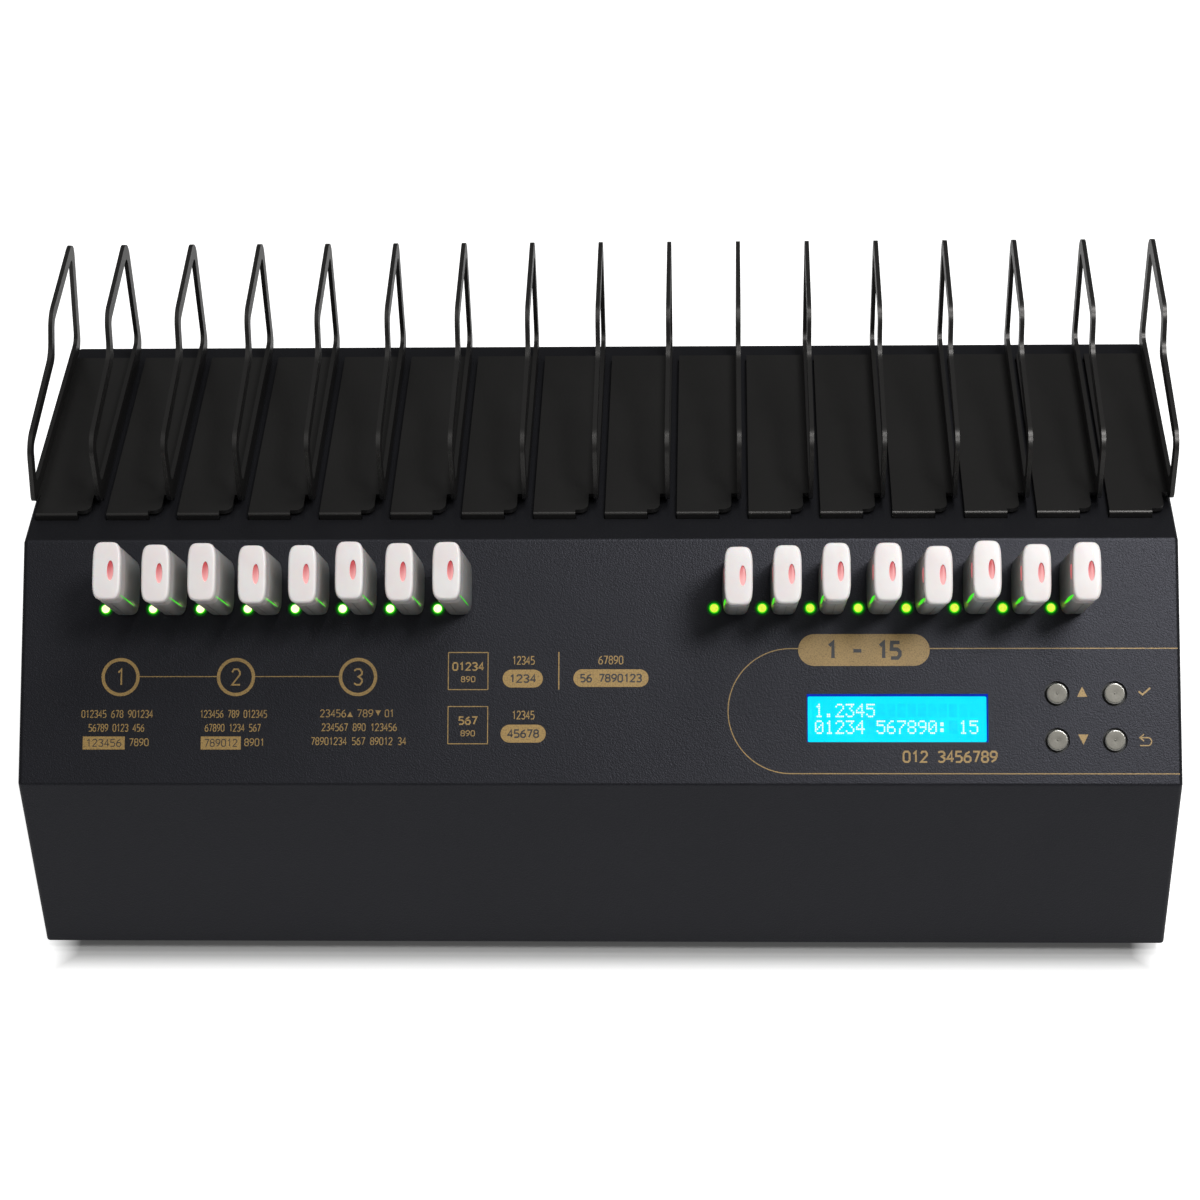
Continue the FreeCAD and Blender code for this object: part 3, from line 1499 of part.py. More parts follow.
def straight_lead(start, direction, length):
    return Part.makeCylinder(S.lead_radius.number, length, start, direction)


def build_cables():
    """Ribbons from the panel boards to the main board, and the power leads."""
    solids = []
    width = S.ribbon_width.number
    header_top = (main_board_top + S.plug_block_height).number
    for x, drop, depth, run in ribbon_routes():
        y0, z0 = ribbon_start(drop, depth)
        y1, z1 = ribbon_corner(drop, depth, run)
        left = x.number - width / 2
        face = bent_strip(
            FreeCAD.Vector(left, y0.number, z0.number), FreeCAD.Vector(left, y1.number, z1.number),
            FreeCAD.Vector(left, y1.number, header_top), S.ribbon_thickness.number, S.ribbon_bend.number)
        solids.append(face.extrude(FreeCAD.Vector(width, 0, 0)))
    supply_rear = (S.supply_y + S.supply_depth).number
    tab_end = (rear_outer - S.inlet_depth - S.tab_length).number
    back = FreeCAD.Vector(0, 1, 0)
    for x, z in inlet_pins():
        solids.append(straight_lead(FreeCAD.Vector(x.number, supply_rear, z.number), back, tab_end - supply_rear))
    switch_front = (rear_outer - S.switch_depth).number
    for side in (-1, 1):
        x = (S.rocker_x + side * S.lead_pitch / 2).number
        start = FreeCAD.Vector(x, supply_rear, S.rocker_z.number)
        solids.append(straight_lead(start, back, switch_front - supply_rear))
    supply_right = (S.supply_x + S.supply_width).number
    power_y = (S.main_board_y + S.main_board_depth / 2).number
    level = (main_board_top + S.plug_block_height / 2).number
    for step in range(count_of("lead_count")):
        y = power_y + (step - 1) * S.lead_pitch.number
        start = FreeCAD.Vector(supply_right, y, level)
        solids.append(straight_lead(start, FreeCAD.Vector(1, 0, 0), S.main_board_x.number - supply_right))
    fan_front = (rear_inner - S.fan_depth).number
    lead_z = (S.fan_z - S.fan_size / 2 + S.plug_block_depth / 2).number
    for side in (-1, 1):
        x = (fan_lead_x() + side * S.lead_pitch / 2).number
        ribbon = bent_strip(
            FreeCAD.Vector(x, fan_front, lead_z), FreeCAD.Vector(x, fan_lead_y().number, lead_z),
            FreeCAD.Vector(x, fan_lead_y().number, header_top), 2 * S.lead_radius.number,
            S.ribbon_bend.number / 2)
        solids.append(ribbon.extrude(FreeCAD.Vector(2 * S.lead_radius.number, 0, 0)))
    harness = doc.addObject("Part::Feature", "case_cables")
    harness.Shape = Part.makeCompound(solids)
    in_case(harness)
    return harness


def build_bridge():
    """The short flat cable that joins the keypad board to the display board."""
    right = S.window_x + S.display_board_width / 2
    left_edge, low, _, high = keypad_outline()
    bridge = doc.addObject("Part::Box", "bridge_cable")
    bind(bridge, "Length", left_edge - right + 2 * S.bridge_overlap)
    bind(bridge, "Width", S.bridge_width)
    bind(bridge, "Height", S.ribbon_thickness)
    depth = display_board_top + S.board_thickness + S.ribbon_thickness
    place(bridge, right - S.bridge_overlap, (low + high) / 2 - S.bridge_width / 2, -depth)
    holder = compound("bridge_holder", [bridge])
    on_panel(holder)
    return holder


def build_all():
    build_console_cover()
    build_base_pan()
    build_rear_panel()
    build_feet()
    build_sockets()
    build_lamps()
    build_port_board("port_board_left", S.left_lamp_x)
    build_port_board("port_board_right", S.right_lamp_x)
    build_display_window()
    build_display_bezel()
    build_display_glass()
    build_display_board()
    build_keypad_board()
    build_key_switches()
    for label, (x, y) in zip(("button_up", "button_ok", "button_down", "button_back"), button_places()):
        build_button(label, x, y)
    build_standoffs()
    build_screws()
    build_main_board()
    build_power_supply()
    build_power_inlet()
    build_rocker_housing()
    build_power_rocker()
    build_fan_frame()
    build_fan_rotor()
    node(compound("cables", [build_cables(), build_bridge()]))
    for group, start in enumerate(first_places()):
        for step in range(count_of("port_count")):
            number = group * count_of("port_count") + step + 1
            build_drive(number, start + step * S.port_pitch)
    for number in range(1, count_of("rack_count") + 1):
        build_bracket(number)


def write_out():
    """Checks every object and writes one file for each node."""
    doc.recompute()
    for obj in doc.Objects:
        if "Invalid" in obj.State or "Error" in obj.State:
            raise RuntimeError("%s failed: %s" % (obj.Label, obj.State))
    os.makedirs("parts", exist_ok=True)
    for obj in nodes:
        shape = obj.Shape
        if shape.isNull() or not shape.isValid() or not shape.Solids:
            raise RuntimeError("bad shape on " + obj.Label)
        shape.exportStep(os.path.join("parts", obj.Label + ".step"))
        print("%-20s %3d solids %10.1f mm3" % (obj.Label, len(shape.Solids), shape.Volume))
    print(len(nodes), "nodes")


build_all()
write_out()
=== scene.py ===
"""Desk console that copies flash drives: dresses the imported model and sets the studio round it."""

import logging
import math
from dataclasses import dataclass, field
from enum import Enum, IntEnum
from typing import Callable, Iterable, Sequence

import bmesh
import bpy
from mathutils import Matrix, Vector


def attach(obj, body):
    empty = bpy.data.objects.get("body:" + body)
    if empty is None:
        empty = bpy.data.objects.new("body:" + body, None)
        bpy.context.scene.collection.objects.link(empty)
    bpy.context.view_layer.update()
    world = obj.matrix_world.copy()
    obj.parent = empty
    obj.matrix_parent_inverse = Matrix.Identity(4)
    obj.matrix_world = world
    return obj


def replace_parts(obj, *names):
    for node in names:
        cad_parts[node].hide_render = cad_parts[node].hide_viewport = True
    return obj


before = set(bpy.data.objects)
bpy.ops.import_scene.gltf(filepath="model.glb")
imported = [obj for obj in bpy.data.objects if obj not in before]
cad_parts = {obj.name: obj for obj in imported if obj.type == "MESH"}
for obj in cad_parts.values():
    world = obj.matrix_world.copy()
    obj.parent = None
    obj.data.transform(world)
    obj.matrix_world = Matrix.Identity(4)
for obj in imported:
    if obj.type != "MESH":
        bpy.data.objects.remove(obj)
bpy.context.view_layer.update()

LOG = logging.getLogger("console")
MM = 0.001

Colour = tuple[float, float, float]
Point = tuple[float, float]
Place = tuple[float, float, float]
Section = tuple[Sequence[Point], float]
Row = tuple[float, float, float, str]
Corners = tuple[float, float, float, float]
Socket = bpy.types.NodeSocket
Material = bpy.types.Material
Vert = bmesh.types.BMVert


# Where the panel lies

@dataclass(frozen=True)
class PanelPlane:
    """The sloped control panel's plane: X across, Y up the slope, Z square out of it."""

    front: float = -92.25
    foot: float = 6.0
    front_height: float = 75.0
    rise: float = 60.0
    depth: float = 60.0

    @property
    def length(self) -> float:
        """The slope's length from the lower crease to the upper one."""
        return math.hypot(self.rise, self.depth)

    def up(self, drop: float) -> float:
        """Turns a distance down from the upper crease into a height up the slope."""
        return self.length - drop

    def matrix(self) -> Matrix:
        """The plane's place in the row frame, in metres.

        Returns:
            A matrix that takes millimetres on the plane to metres in the row frame.
        """
        turn = Matrix.Rotation(math.atan2(self.rise, self.depth), 4, "X")
        shift = Matrix.Translation((0.0, self.front * MM, (self.foot + self.front_height) * MM))
        return shift @ turn @ Matrix.Scale(MM, 4)


PANEL = PanelPlane()


# Making meshes

def rounded(width: float, height: float, radius: float, steps: int = 8,
            at: Point = (0.0, 0.0)) -> list[Point]:
    """A rectangle with round corners, counter-clockwise from its right side.

    Args:
        width: Whole width.
        height: Whole height.
        radius: Corner radius.
        steps: Segments in each corner.
        at: Middle of the rectangle.

    Returns:
        The outline's points.
    """
    radius = min(radius, width / 2, height / 2)
    points = []
    for quarter, (a, b) in enumerate(((1, 1), (-1, 1), (-1, -1), (1, -1))):
        x = at[0] + a * (width / 2 - radius)
        y = at[1] + b * (height / 2 - radius)
        for step in range(steps + 1):
            turn = math.pi / 2 * (quarter + step / steps)
            points.append((x + radius * math.cos(turn), y + radius * math.sin(turn)))
    return points


def round_outline(radius: float, count: int = 48, at: Point = (0.0, 0.0), squeeze: float = 1.0) -> list[Point]:
    """A circle, or an ellipse when squeezed across."""
    turns = [2 * math.pi * (step + 0.5) / count for step in range(count)]
    return [(at[0] + radius * squeeze * math.cos(t), at[1] + radius * math.sin(t)) for t in turns]


def fan(start: float, end: float, count: int) -> list[float]:
    """Angles in radians spread evenly between two given in degrees."""
    return [math.radians(start + (end - start) * step / count) for step in range(count + 1)]


def squircle(across: float, up: float, power: float = 5.0, count: int = 64,
             at: Point = (0.0, 0.0)) -> list[Point]:
    """A rectangle with soft corners and slightly full sides.

    Args:
        across: Half its width.
        up: Half its height.
        power: 2 gives an ellipse, and a high power a sharp rectangle.
        count: Points round it, evenly turned.
        at: Middle of the figure.

    Returns:
        The outline's points.
    """
    points = []
    for step in range(count):
        turn = 2 * math.pi * (step + 0.5) / count
        c, d = math.cos(turn), math.sin(turn)
        x = math.copysign(abs(c) ** (2 / power), c) * across
        y = math.copysign(abs(d) ** (2 / power), d) * up
        points.append((at[0] + x, at[1] + y))
    return points


class Form:
    """A mesh in the making, in millimetres, with a material slot for each face."""

    def __init__(self) -> None:
        """Starts an empty form."""
        self.bm = bmesh.new()

    def ring(self, outline: Iterable[Point], height: float) -> list[Vert]:
        """Puts an outline's points at one height."""
        return [self.bm.verts.new((x, y, height)) for x, y in outline]

    def face(self, verts: Sequence[Vert], slot: int = 0) -> None:
        """Adds one face in a material slot."""
        self.bm.faces.new(verts).material_index = slot

    def bridge(self, low: Sequence[Vert], high: Sequence[Vert], slot: int = 0) -> None:
        """Joins two rings with a band of faces.

        Args:
            low: The first ring.
            high: The second ring, with as many vertices.
            slot: The band's material slot.
        """
        for index, vert in enumerate(low):
            after = (index + 1) % len(low)
            self.face((vert, low[after], high[after], high[index]), slot)

    def loft(self, sections: Sequence[Section], slots: Sequence[int],
             ends: tuple[bool, bool] = (True, True)) -> list[Vert]:
        """Joins outlines at rising heights.

        Args:
            sections: Outline and height of each section, all with one point count.
            slots: Material slot of each band, and then of the last cap.
            ends: Whether the first and the last section are closed.

        Returns:
            The last ring of vertices.
        """
        rings = [self.ring(outline, height) for outline, height in sections]
        for band, (low, high) in enumerate(zip(rings, rings[1:])):
            self.bridge(low, high, slots[band])
        if ends[0]:
            self.face(rings[0][::-1], slots[0])
        if ends[1]:
            self.face(rings[-1], slots[-1])
        return rings[-1]

    def prism(self, outline: Sequence[Point], low: float, high: float, slot: int = 0) -> None:
        """Adds a flat plate of one outline."""
        self.loft([(outline, low), (outline, high)], [slot, slot])

    def frame_of(self, outer: Sequence[Point], inner: Sequence[Point], low: float, high: float,
                 slot: int = 0) -> None:
        """Adds a plate with a window.

        Args:
            outer: The plate's outline.
            inner: The window's outline, with as many points.
            low: Height of its underside.
            high: Height of its top.
            slot: Its material slot.
        """
        rings = [self.ring(o, z) for o, z in ((outer, low), (outer, high), (inner, high), (inner, low))]
        for first, second in zip(rings, rings[1:] + rings[:1]):
            self.bridge(first, second, slot)

    def lathe(self, profile: Sequence[Point], at: Point, slot_of: Callable[[float, float], int],
              count: int = 40) -> None:
        """Turns a profile about an upright axis.

        Args:
            profile: Radius and height of each point; a radius of nought closes the end.
            at: Place of the axis.
            slot_of: Gives a band's material slot from its middle radius and height.
            count: Segments round the axis.
        """
        before = None
        for radius, height in profile:
            if radius == 0:
                now = [self.bm.verts.new((at[0], at[1], height))]
            else:
                now = self.ring(round_outline(radius, count, at), height)
            if before is not None:
                slot = slot_of((radius + last[0]) / 2, (height + last[1]) / 2)
                self.band(before, now, slot)
            before, last = now, (radius, height)

    def band(self, low: Sequence[Vert], high: Sequence[Vert], slot: int) -> None:
        """Joins two rings, either of which may be a single point.

        Args:
            low: The first ring.
            high: The second ring.
            slot: The band's material slot.
        """
        if len(low) > 1 and len(high) > 1:
            self.bridge(low, high, slot)
            return
        tip, ring = (low[0], high) if len(low) == 1 else (high[0], low)
        for index, vert in enumerate(ring):
            self.face((vert, ring[(index + 1) % len(ring)], tip), slot)

    def ribbon(self, points: Sequence[Point], width: float, low: float, high: float, slot: int = 0) -> None:
        """Adds a line of one width along points, with mitred corners.

        Args:
            points: The line's middle points.
            width: The line's width.
            low: Its lower height.
            high: Its upper height.
            slot: Its material slot.
        """
        left, right = [], []
        for index, point in enumerate(points):
            here = Vector(point)
            ways = []
            if index > 0:
                ways.append((here - Vector(points[index - 1])).normalized())
            if index < len(points) - 1:
                ways.append((Vector(points[index + 1]) - here).normalized())
            way = sum(ways, Vector((0.0, 0.0))).normalized()
            across = Vector((-way.y, way.x)) * width / 2 / max(0.5, way.dot(ways[0]))
            left.append(tuple(here + across))
            right.append(tuple(here - across))
        lows = self.ring(left, low), self.ring(right, low)
        highs = self.ring(left, high), self.ring(right, high)
        for index in range(len(points) - 1):
            after = index + 1
            self.face((highs[0][index], highs[0][after], highs[1][after], highs[1][index]), slot)
            self.face((lows[0][index], lows[1][index], lows[1][after], lows[0][after]), slot)
            self.face((lows[0][index], lows[0][after], highs[0][after], highs[0][index]), slot)
            self.face((lows[1][after], lows[1][index], highs[1][index], highs[1][after]), slot)
        for index in (0, -1):
            self.face((lows[0][index], highs[0][index], highs[1][index], lows[1][index]), slot)

    def finish(self, name: str, materials: Sequence[Material], body: str, place: Matrix,
               sharp: float = 32.0) -> bpy.types.Object:
        """Turns the form into an object that rides on a body.

        Args:
            name: The object's name.
            materials: One material for each slot.
            body: The body that it rides on.
            place: Matrix from the form's millimetres to the row frame.
            sharp: Angle in degrees above which an edge stays sharp.

        Returns:
            The new object.
        """
        bmesh.ops.recalc_face_normals(self.bm, faces=self.bm.faces[:])
        self.bm.transform(place)
        mesh = bpy.data.meshes.new(name)
        self.bm.to_mesh(mesh)
        self.bm.free()
        for material in materials:
            mesh.materials.append(material)
        smooth(mesh, sharp)
        made = bpy.data.objects.new(name, mesh)
        bpy.context.scene.collection.objects.link(made)
        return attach(made, body)


def smooth(mesh: bpy.types.Mesh, degrees: float) -> None:
    """Shades a mesh smoothly except over edges sharper than an angle."""
    mesh.polygons.foreach_set("use_smooth", [True] * len(mesh.polygons))
    mesh.set_sharp_from_angle(angle=math.radians(degrees))


# Finishes

class Nodes:
    """A node tree in the making."""

    def __init__(self, tree: bpy.types.NodeTree) -> None:
        """Starts with a tree."""
        self.tree = tree

    def node(self, kind: str, values: dict | None = None, **links: Socket) -> bpy.types.Node:
        """Adds a node.

        Args:
            kind: The node's type name without its prefix.
            values: Attributes, or socket values by socket name.
            links: Sockets to join to the node's inputs; an underscore stands for a space.

        Returns:
            The new node.
        """
        made = self.tree.nodes.new("ShaderNode" + kind)
        for key, value in (values or {}).items():
            if key in made.inputs:
                made.inputs[key].default_value = value
            else:
                setattr(made, key, value)
        for key, socket in links.items():
            self.tree.links.new(socket, made.inputs[key.replace("_", " ")])
        return made

    def math(self, operation: str, *values: Socket | float) -> Socket:
        """Works out one sum.

        Args:
            operation: The sum's kind.
            values: Sockets or numbers.

        Returns:
            The result's socket.
        """
        made = self.node("Math", {"operation": operation})
        for place, value in enumerate(values):
            if isinstance(value, Socket):
                self.tree.links.new(value, made.inputs[place])
            else:
                made.inputs[place].default_value = value
        return made.outputs[0]

    def vector(self, operation: str, left: Socket, right: Sequence[float] = (0, 0, 0)) -> bpy.types.Node:
        """Works out one vector sum.

        Args:
            operation: The sum's kind.
            left: The first vector's socket.
            right: The second vector, a constant.

        Returns:
            The sum's node.
        """
        made = self.node("VectorMath", {"operation": operation}, Vector=left)
        made.inputs[1].default_value = tuple(right)
        return made

    def spread(self, value: Socket, onto: Point, ends: Point = (0.0, 1.0)) -> Socket:
        """Maps a value onto a range and holds it there.

        Args:
            value: The value's socket.
            onto: The results at the two ends.
            ends: The values at the two ends.

        Returns:
            The result's socket.
        """
        limits = {"From Min": ends[0], "From Max": ends[1], "To Min": onto[0], "To Max": onto[1]}
        return self.node("MapRange", limits, Value=value).outputs["Result"]


class Shader(Nodes):
    """One material's nodes, started from its surface shader."""

    def __init__(self, name: str) -> None:
        """Starts a material.

        Args:
            name: The material's name.
        """
        self.material = bpy.data.materials.new(name)
        self.material.use_nodes = True
        super().__init__(self.material.node_tree)
        self.surface = self.tree.nodes["Principled BSDF"]

    def set(self, **values: object) -> "Shader":
        """Sets constants on the surface shader's own sockets.

        Args:
            values: Value by socket name; an underscore stands for a space.

        Returns:
            This shader.
        """
        for key, value in values.items():
            self.surface.inputs[key.replace("_", " ")].default_value = value
        return self

    def join(self, socket: Socket, key: str) -> None:
        """Joins a socket to one of the surface shader's inputs."""
        self.tree.links.new(socket, self.surface.inputs[key])

    def place(self) -> Socket:
        """The surface's own coordinates, in metres."""
        return self.node("TexCoord").outputs["Object"]

    def noise(self, size_mm: float, detail: float = 3.0, stretch: Place = (1, 1, 1)) -> Socket:
        """Noise with features of about one size.

        Args:
            size_mm: The features' size.
            detail: How much finer detail it holds.
            stretch: Factor on the coordinates along each axis.

        Returns:
            The noise's factor.
        """
        scaled = self.node("Mapping", {"Scale": stretch}, Vector=self.place()).outputs["Vector"]
        noise = self.node("TexNoise", {"Scale": 1.0 / (size_mm * MM), "Detail": detail}, Vector=scaled)
        return noise.outputs["Fac"]

    def along(self, axis: Place, ends: Point) -> Socket:
        """How far the surface lies along one of the panel's directions.

        Args:
            axis: The direction, seen from the panel's plane.
            ends: Distances in millimetres at which the factor is nought and one.

        Returns:
            The factor.
        """
        way = (PANEL.matrix().to_3x3() @ Vector(axis)).normalized()
        start = way.dot(PANEL.matrix().translation)
        reach = self.vector("DOT_PRODUCT", self.place(), way).outputs["Value"]
        return self.spread(reach, (0.0, 1.0), (start + ends[0] * MM, start + ends[1] * MM))

    def blend(self, factor: Socket, low: Colour, high: Colour, span: Point = (0.3, 0.7)) -> Socket:
        """Blends two colours by a factor.

        Args:
            factor: The factor's socket.
            low: Colour at the span's start.
            high: Colour at its end.
            span: The two values of the factor between which the colour changes.

        Returns:
            The colour's socket.
        """
        ramp = self.node("ValToRGB", Fac=factor)
        for element, at, colour in zip(ramp.color_ramp.elements, span, (low, high)):
            element.position = at
            element.color = (*colour, 1.0)
        return ramp.outputs["Color"]

    def clouded(self, size_mm: float, detail: float, colour: Colour, contrast: float) -> None:
        """Gives the surface a slightly uneven colour.

        Args:
            size_mm: Size of its clouds.
            detail: How much finer detail they hold.
            colour: The middle colour.
            contrast: How far the colour strays, as a share.
        """
        low, high = (tuple(c * share for c in colour) for share in (1 - contrast, 1 + contrast))
        self.join(self.blend(self.noise(size_mm, detail), low, high), "Base Color")

    def relief(self, height: Socket, strength: float, depth_mm: float) -> None:
        """Gives the surface a relief from a height."""
        bump = self.node("Bump", {"Strength": strength, "Distance": depth_mm * MM}, Height=height)
        self.join(bump.outputs["Normal"], "Normal")

    def skin(self, grain: Socket, rough: Point, strength: float, depth_mm: float) -> None:
        """Lets the roughness and the relief follow one grain.

        Args:
            grain: The grain's factor.
            rough: Roughness where the grain is low and where it is high.
            strength: The relief's strength.
            depth_mm: The relief's depth.
        """
        self.join(self.spread(grain, rough), "Roughness")
        self.relief(grain, strength, depth_mm)


@dataclass(frozen=True)
class Finish:
    """A surface finish of one name."""

    name: str

    def lay(self, shader: Shader) -> None:
        """Lays the finish's own nodes.

        Args:
            shader: The material's nodes.
        """
        raise NotImplementedError

    def make(self) -> Material:
        """Builds the material.

        Returns:
            The new material.
        """
        shader = Shader(self.name)
        self.lay(shader)
        return shader.material


@dataclass(frozen=True)
class PowderCoat(Finish):
    """Baked powder paint on sheet metal: a fine pebbled skin."""

    colour: Colour
    roughness: float = 0.5
    gloss: float = 0.2
    pebble_mm: float = 0.8
    depth_mm: float = 0.08
    sheen: Colour = (0.85, 0.86, 1.0)
    contrast: float = 0.12
    cloud_mm: float = 30.0
    uneven: float = 0.07

    def lay(self, shader: Shader) -> None:
        """Lays the nodes.

        Args:
            shader: The material's nodes.
        """
        shader.set(Specular_IOR_Level=self.gloss, Specular_Tint=(*self.sheen, 1.0))
        shader.clouded(self.cloud_mm, 4.0, self.colour, self.contrast)
        rough = (self.roughness - self.uneven, self.roughness + self.uneven)
        shader.skin(shader.noise(self.pebble_mm, 2.0), rough, 1.0, self.depth_mm)


@dataclass(frozen=True)
class Moulded(Finish):
    """Moulded plastic or rubber with a faint grain."""

    colour: Colour
    roughness: float = 0.45
    grain_mm: float = 0.8
    depth_mm: float = 0.01
    contrast: float = 0.08
    cloud_mm: float = 12.0
    uneven: float = 0.06

    def lay(self, shader: Shader) -> None:
        """Lays the nodes.

        Args:
            shader: The material's nodes.
        """
        shader.clouded(self.cloud_mm, 3.0, self.colour, self.contrast)
        rough = (self.roughness - self.uneven, self.roughness + self.uneven)
        shader.skin(shader.noise(self.grain_mm), rough, 0.3, self.depth_mm)


class Working(Enum):
    """How a metal face was left: the stretch of its marks."""

    ROLLED = (1.0, 0.04, 1.0)
    PLATED = (1.0, 1.0, 1.0)


@dataclass(frozen=True)
class Metal(Finish):
    """Bare or plated metal with working marks."""

    colour: Colour
    roughness: float = 0.3
    working: Working = Working.PLATED
    mark_mm: float = 0.3
    tarnish: float = 0.86
    tarnish_mm: float = 4.0

    def lay(self, shader: Shader) -> None:
        """Lays the nodes.

        Args:
            shader: The material's nodes.
        """
        shader.set(Metallic=1.0)
        dull = tuple(c * self.tarnish for c in self.colour)
        shader.join(shader.blend(shader.noise(self.tarnish_mm, 4.0), dull, self.colour), "Base Color")
        marks = shader.noise(self.mark_mm, 4.0, self.working.value)
        shader.skin(marks, (self.roughness - 0.08, self.roughness + 0.1), 0.2, 0.003)


@dataclass(frozen=True)
class Ink(Finish):
    """Screen-printed ink, a little broken by the paint's pebbles."""

    colour: Colour
    dark: Colour
    speck_mm: float = 0.45
    rough: Point = (0.55, 0.38)

    def lay(self, shader: Shader) -> None:
        """Lays the nodes.

        Args:
            shader: The material's nodes.
        """
        shader.set(Metallic=0.1, Specular_IOR_Level=0.8)
        specks = shader.noise(self.speck_mm)
        shader.join(shader.blend(specks, self.dark, self.colour, (0.3, 0.55)), "Base Color")
        shader.skin(specks, self.rough, 0.4, 0.02)


@dataclass(frozen=True)
class Glow(Finish):
    """A lit surface, with a little variation in its glow."""

    colour: Colour
    edge: Colour
    strength: float
    speck_mm: float = 3.0
    unlit: Point = (0.04, 0.08)

    def lay(self, shader: Shader) -> None:
        """Lays the nodes.

        Args:
            shader: The material's nodes.
        """
        shader.set(Roughness=0.4, Specular_IOR_Level=0.1, Emission_Strength=self.strength)
        cloud = shader.noise(self.speck_mm, 2.0)
        shader.join(shader.blend(cloud, self.edge, self.colour, (0.25, 0.6)), "Emission Color")
        low = tuple(self.unlit[0] * c for c in self.edge)
        high = tuple(self.unlit[1] * c for c in self.colour)
        shader.join(shader.blend(cloud, low, high), "Base Color")


@dataclass(frozen=True)
class CloudyShell(Finish):
    """Translucent moulding whose colour follows the distance out of the panel's plane: a painted shade, darker
    near the panel and lighter further out.
    """

    near: Colour
    far: Colour
    low_mm: float = 4.0
    high_mm: float = 40.0
    roughness: float = 0.16
    haze_mm: float = 1.2

    def lay(self, shader: Shader) -> None:
        """Lays the nodes.

        Args:
            shader: The material's nodes.
        """
        shader.set(Subsurface_Weight=0.15, Subsurface_Scale=0.004, Coat_Weight=0.06)
        # painted shade: darker at the panel's plane, lighter further out of it
        reach = shader.along((0, 0, 1), (self.low_mm, self.high_mm))
        shader.join(shader.blend(reach, self.near, self.far, (0.05, 0.95)), "Base Color")
        shader.skin(shader.noise(self.haze_mm), (self.roughness - 0.04, self.roughness + 0.05), 0.12, 0.01)


@dataclass(frozen=True)
class GlossShell(Finish):
    """Glossy moulding with a soft, slightly uneven colour."""

    colour: Colour
    shade: Colour
    roughness: float = 0.2
    patch_mm: float = 9.0
    coat: float = 0.4
    haze_mm: float = 1.5

    def lay(self, shader: Shader) -> None:
        """Lays the nodes.

        Args:
            shader: The material's nodes.
        """
        shader.set(Subsurface_Weight=0.1, Subsurface_Scale=0.002, Coat_Weight=self.coat)
        cloud = shader.noise(self.patch_mm, 2.0)
        shader.join(shader.blend(cloud, self.shade, self.colour, (0.35, 0.65)), "Base Color")
        shader.skin(shader.noise(self.haze_mm), (self.roughness - 0.04, self.roughness + 0.06), 0.1, 0.01)


@dataclass(frozen=True)
class SlopeShade(Finish):
    """Moulding lit a little from behind, whose colour changes up the slope across the drives' eyes."""

    high: Colour
    low: Colour
    drop: float = 16.8
    half: float = 3.2
    roughness: float = 0.3
    haze_mm: float = 1.0

    def lay(self, shader: Shader) -> None:
        """Lays the nodes.

        Args:
            shader: The material's nodes.
        """
        shader.set(Specular_IOR_Level=0.3, Emission_Strength=0.2)
        middle = PANEL.up(self.drop)
        reach = shader.along((0, 1, 0), (middle - self.half, middle + self.half))
        shade = shader.blend(reach, self.low, self.high, (0.1, 0.95))
        for key in ("Base Color", "Emission Color"):
            shader.join(shade, key)
        shader.skin(shader.noise(self.haze_mm), (self.roughness - 0.04, self.roughness + 0.05), 0.12, 0.01)


@dataclass(frozen=True)
class ClearPane(Finish):
    """The clear plastic pane over the display."""

    tint: Colour = (0.92, 0.97, 1.0)
    haze: Point = (0.0, 0.04)

    def lay(self, shader: Shader) -> None:
        """Lays the nodes.

        Args:
            shader: The material's nodes.
        """
        shader.set(Transmission_Weight=1.0, IOR=1.06, Specular_IOR_Level=0.2)
        shader.set(Base_Color=(*self.tint, 1.0))
        shader.join(shader.spread(shader.noise(6.0, 2.0), self.haze), "Roughness")


@dataclass(frozen=True)
class CircuitBoard(Finish):
    """Green circuit board with tracks under its mask."""

    mask: Colour = (0.015, 0.10, 0.035)
    track: Colour = (0.03, 0.2, 0.06)
    cells: float = 160.0

    def lay(self, shader: Shader) -> None:
        """Lays the nodes.

        Args:
            shader: The material's nodes.
        """
        shader.set(Roughness=0.35)
        cells = shader.node("TexVoronoi", {"Scale": self.cells, "distance": "MANHATTAN"}, Vector=shader.place())
        shader.join(shader.blend(cells.outputs["Distance"], self.track, self.mask, (0.35, 0.45)), "Base Color")
        shader.relief(cells.outputs["Distance"], 0.3, 0.03)


@dataclass(frozen=True)
class StudioFloor(Finish):
    """Pale floor that shows white to the camera and keeps the object's shadow."""

    name: str = "studio_floor"
    near: float = 0.05
    far: float = 0.93
    mirrored: float = 0.10
    footprint: Point = (0.188, 0.0925)
    fade: Point = (0.001, 0.013)
    pale: Colour = (0.60, 0.60, 0.595)
    paler: Colour = (0.62, 0.62, 0.615)

    def lay(self, shader: Shader) -> None:
        """Lays the nodes; its own light is weak next to the object, where the shadow lies.

        Args:
            shader: The material's nodes.
        """
        shader.set(Roughness=0.9, Emission_Strength=1.0, Specular_IOR_Level=0.1)
        shader.join(shader.blend(shader.noise(300.0), self.pale, self.paler), "Base Color")
        beyond = shader.vector("ABSOLUTE", shader.place()).outputs[0]
        outside = shader.vector("SUBTRACT", beyond, (*self.footprint, 0.0)).outputs[0]
        split = shader.node("SeparateXYZ", Vector=outside).outputs
        away = shader.math("MAXIMUM", split["X"], split["Y"])
        ring = shader.spread(away, (self.near, self.far), self.fade)
        path = shader.node("LightPath").outputs
        mirrored = shader.math("MAXIMUM", path["Is Glossy Ray"], path["Is Transmission Ray"])
        seen = shader.math("MAXIMUM", path["Is Camera Ray"], shader.math("MULTIPLY", mirrored, self.mirrored))
        shader.join(shader.math("MULTIPLY", seen, ring), "Emission Color")


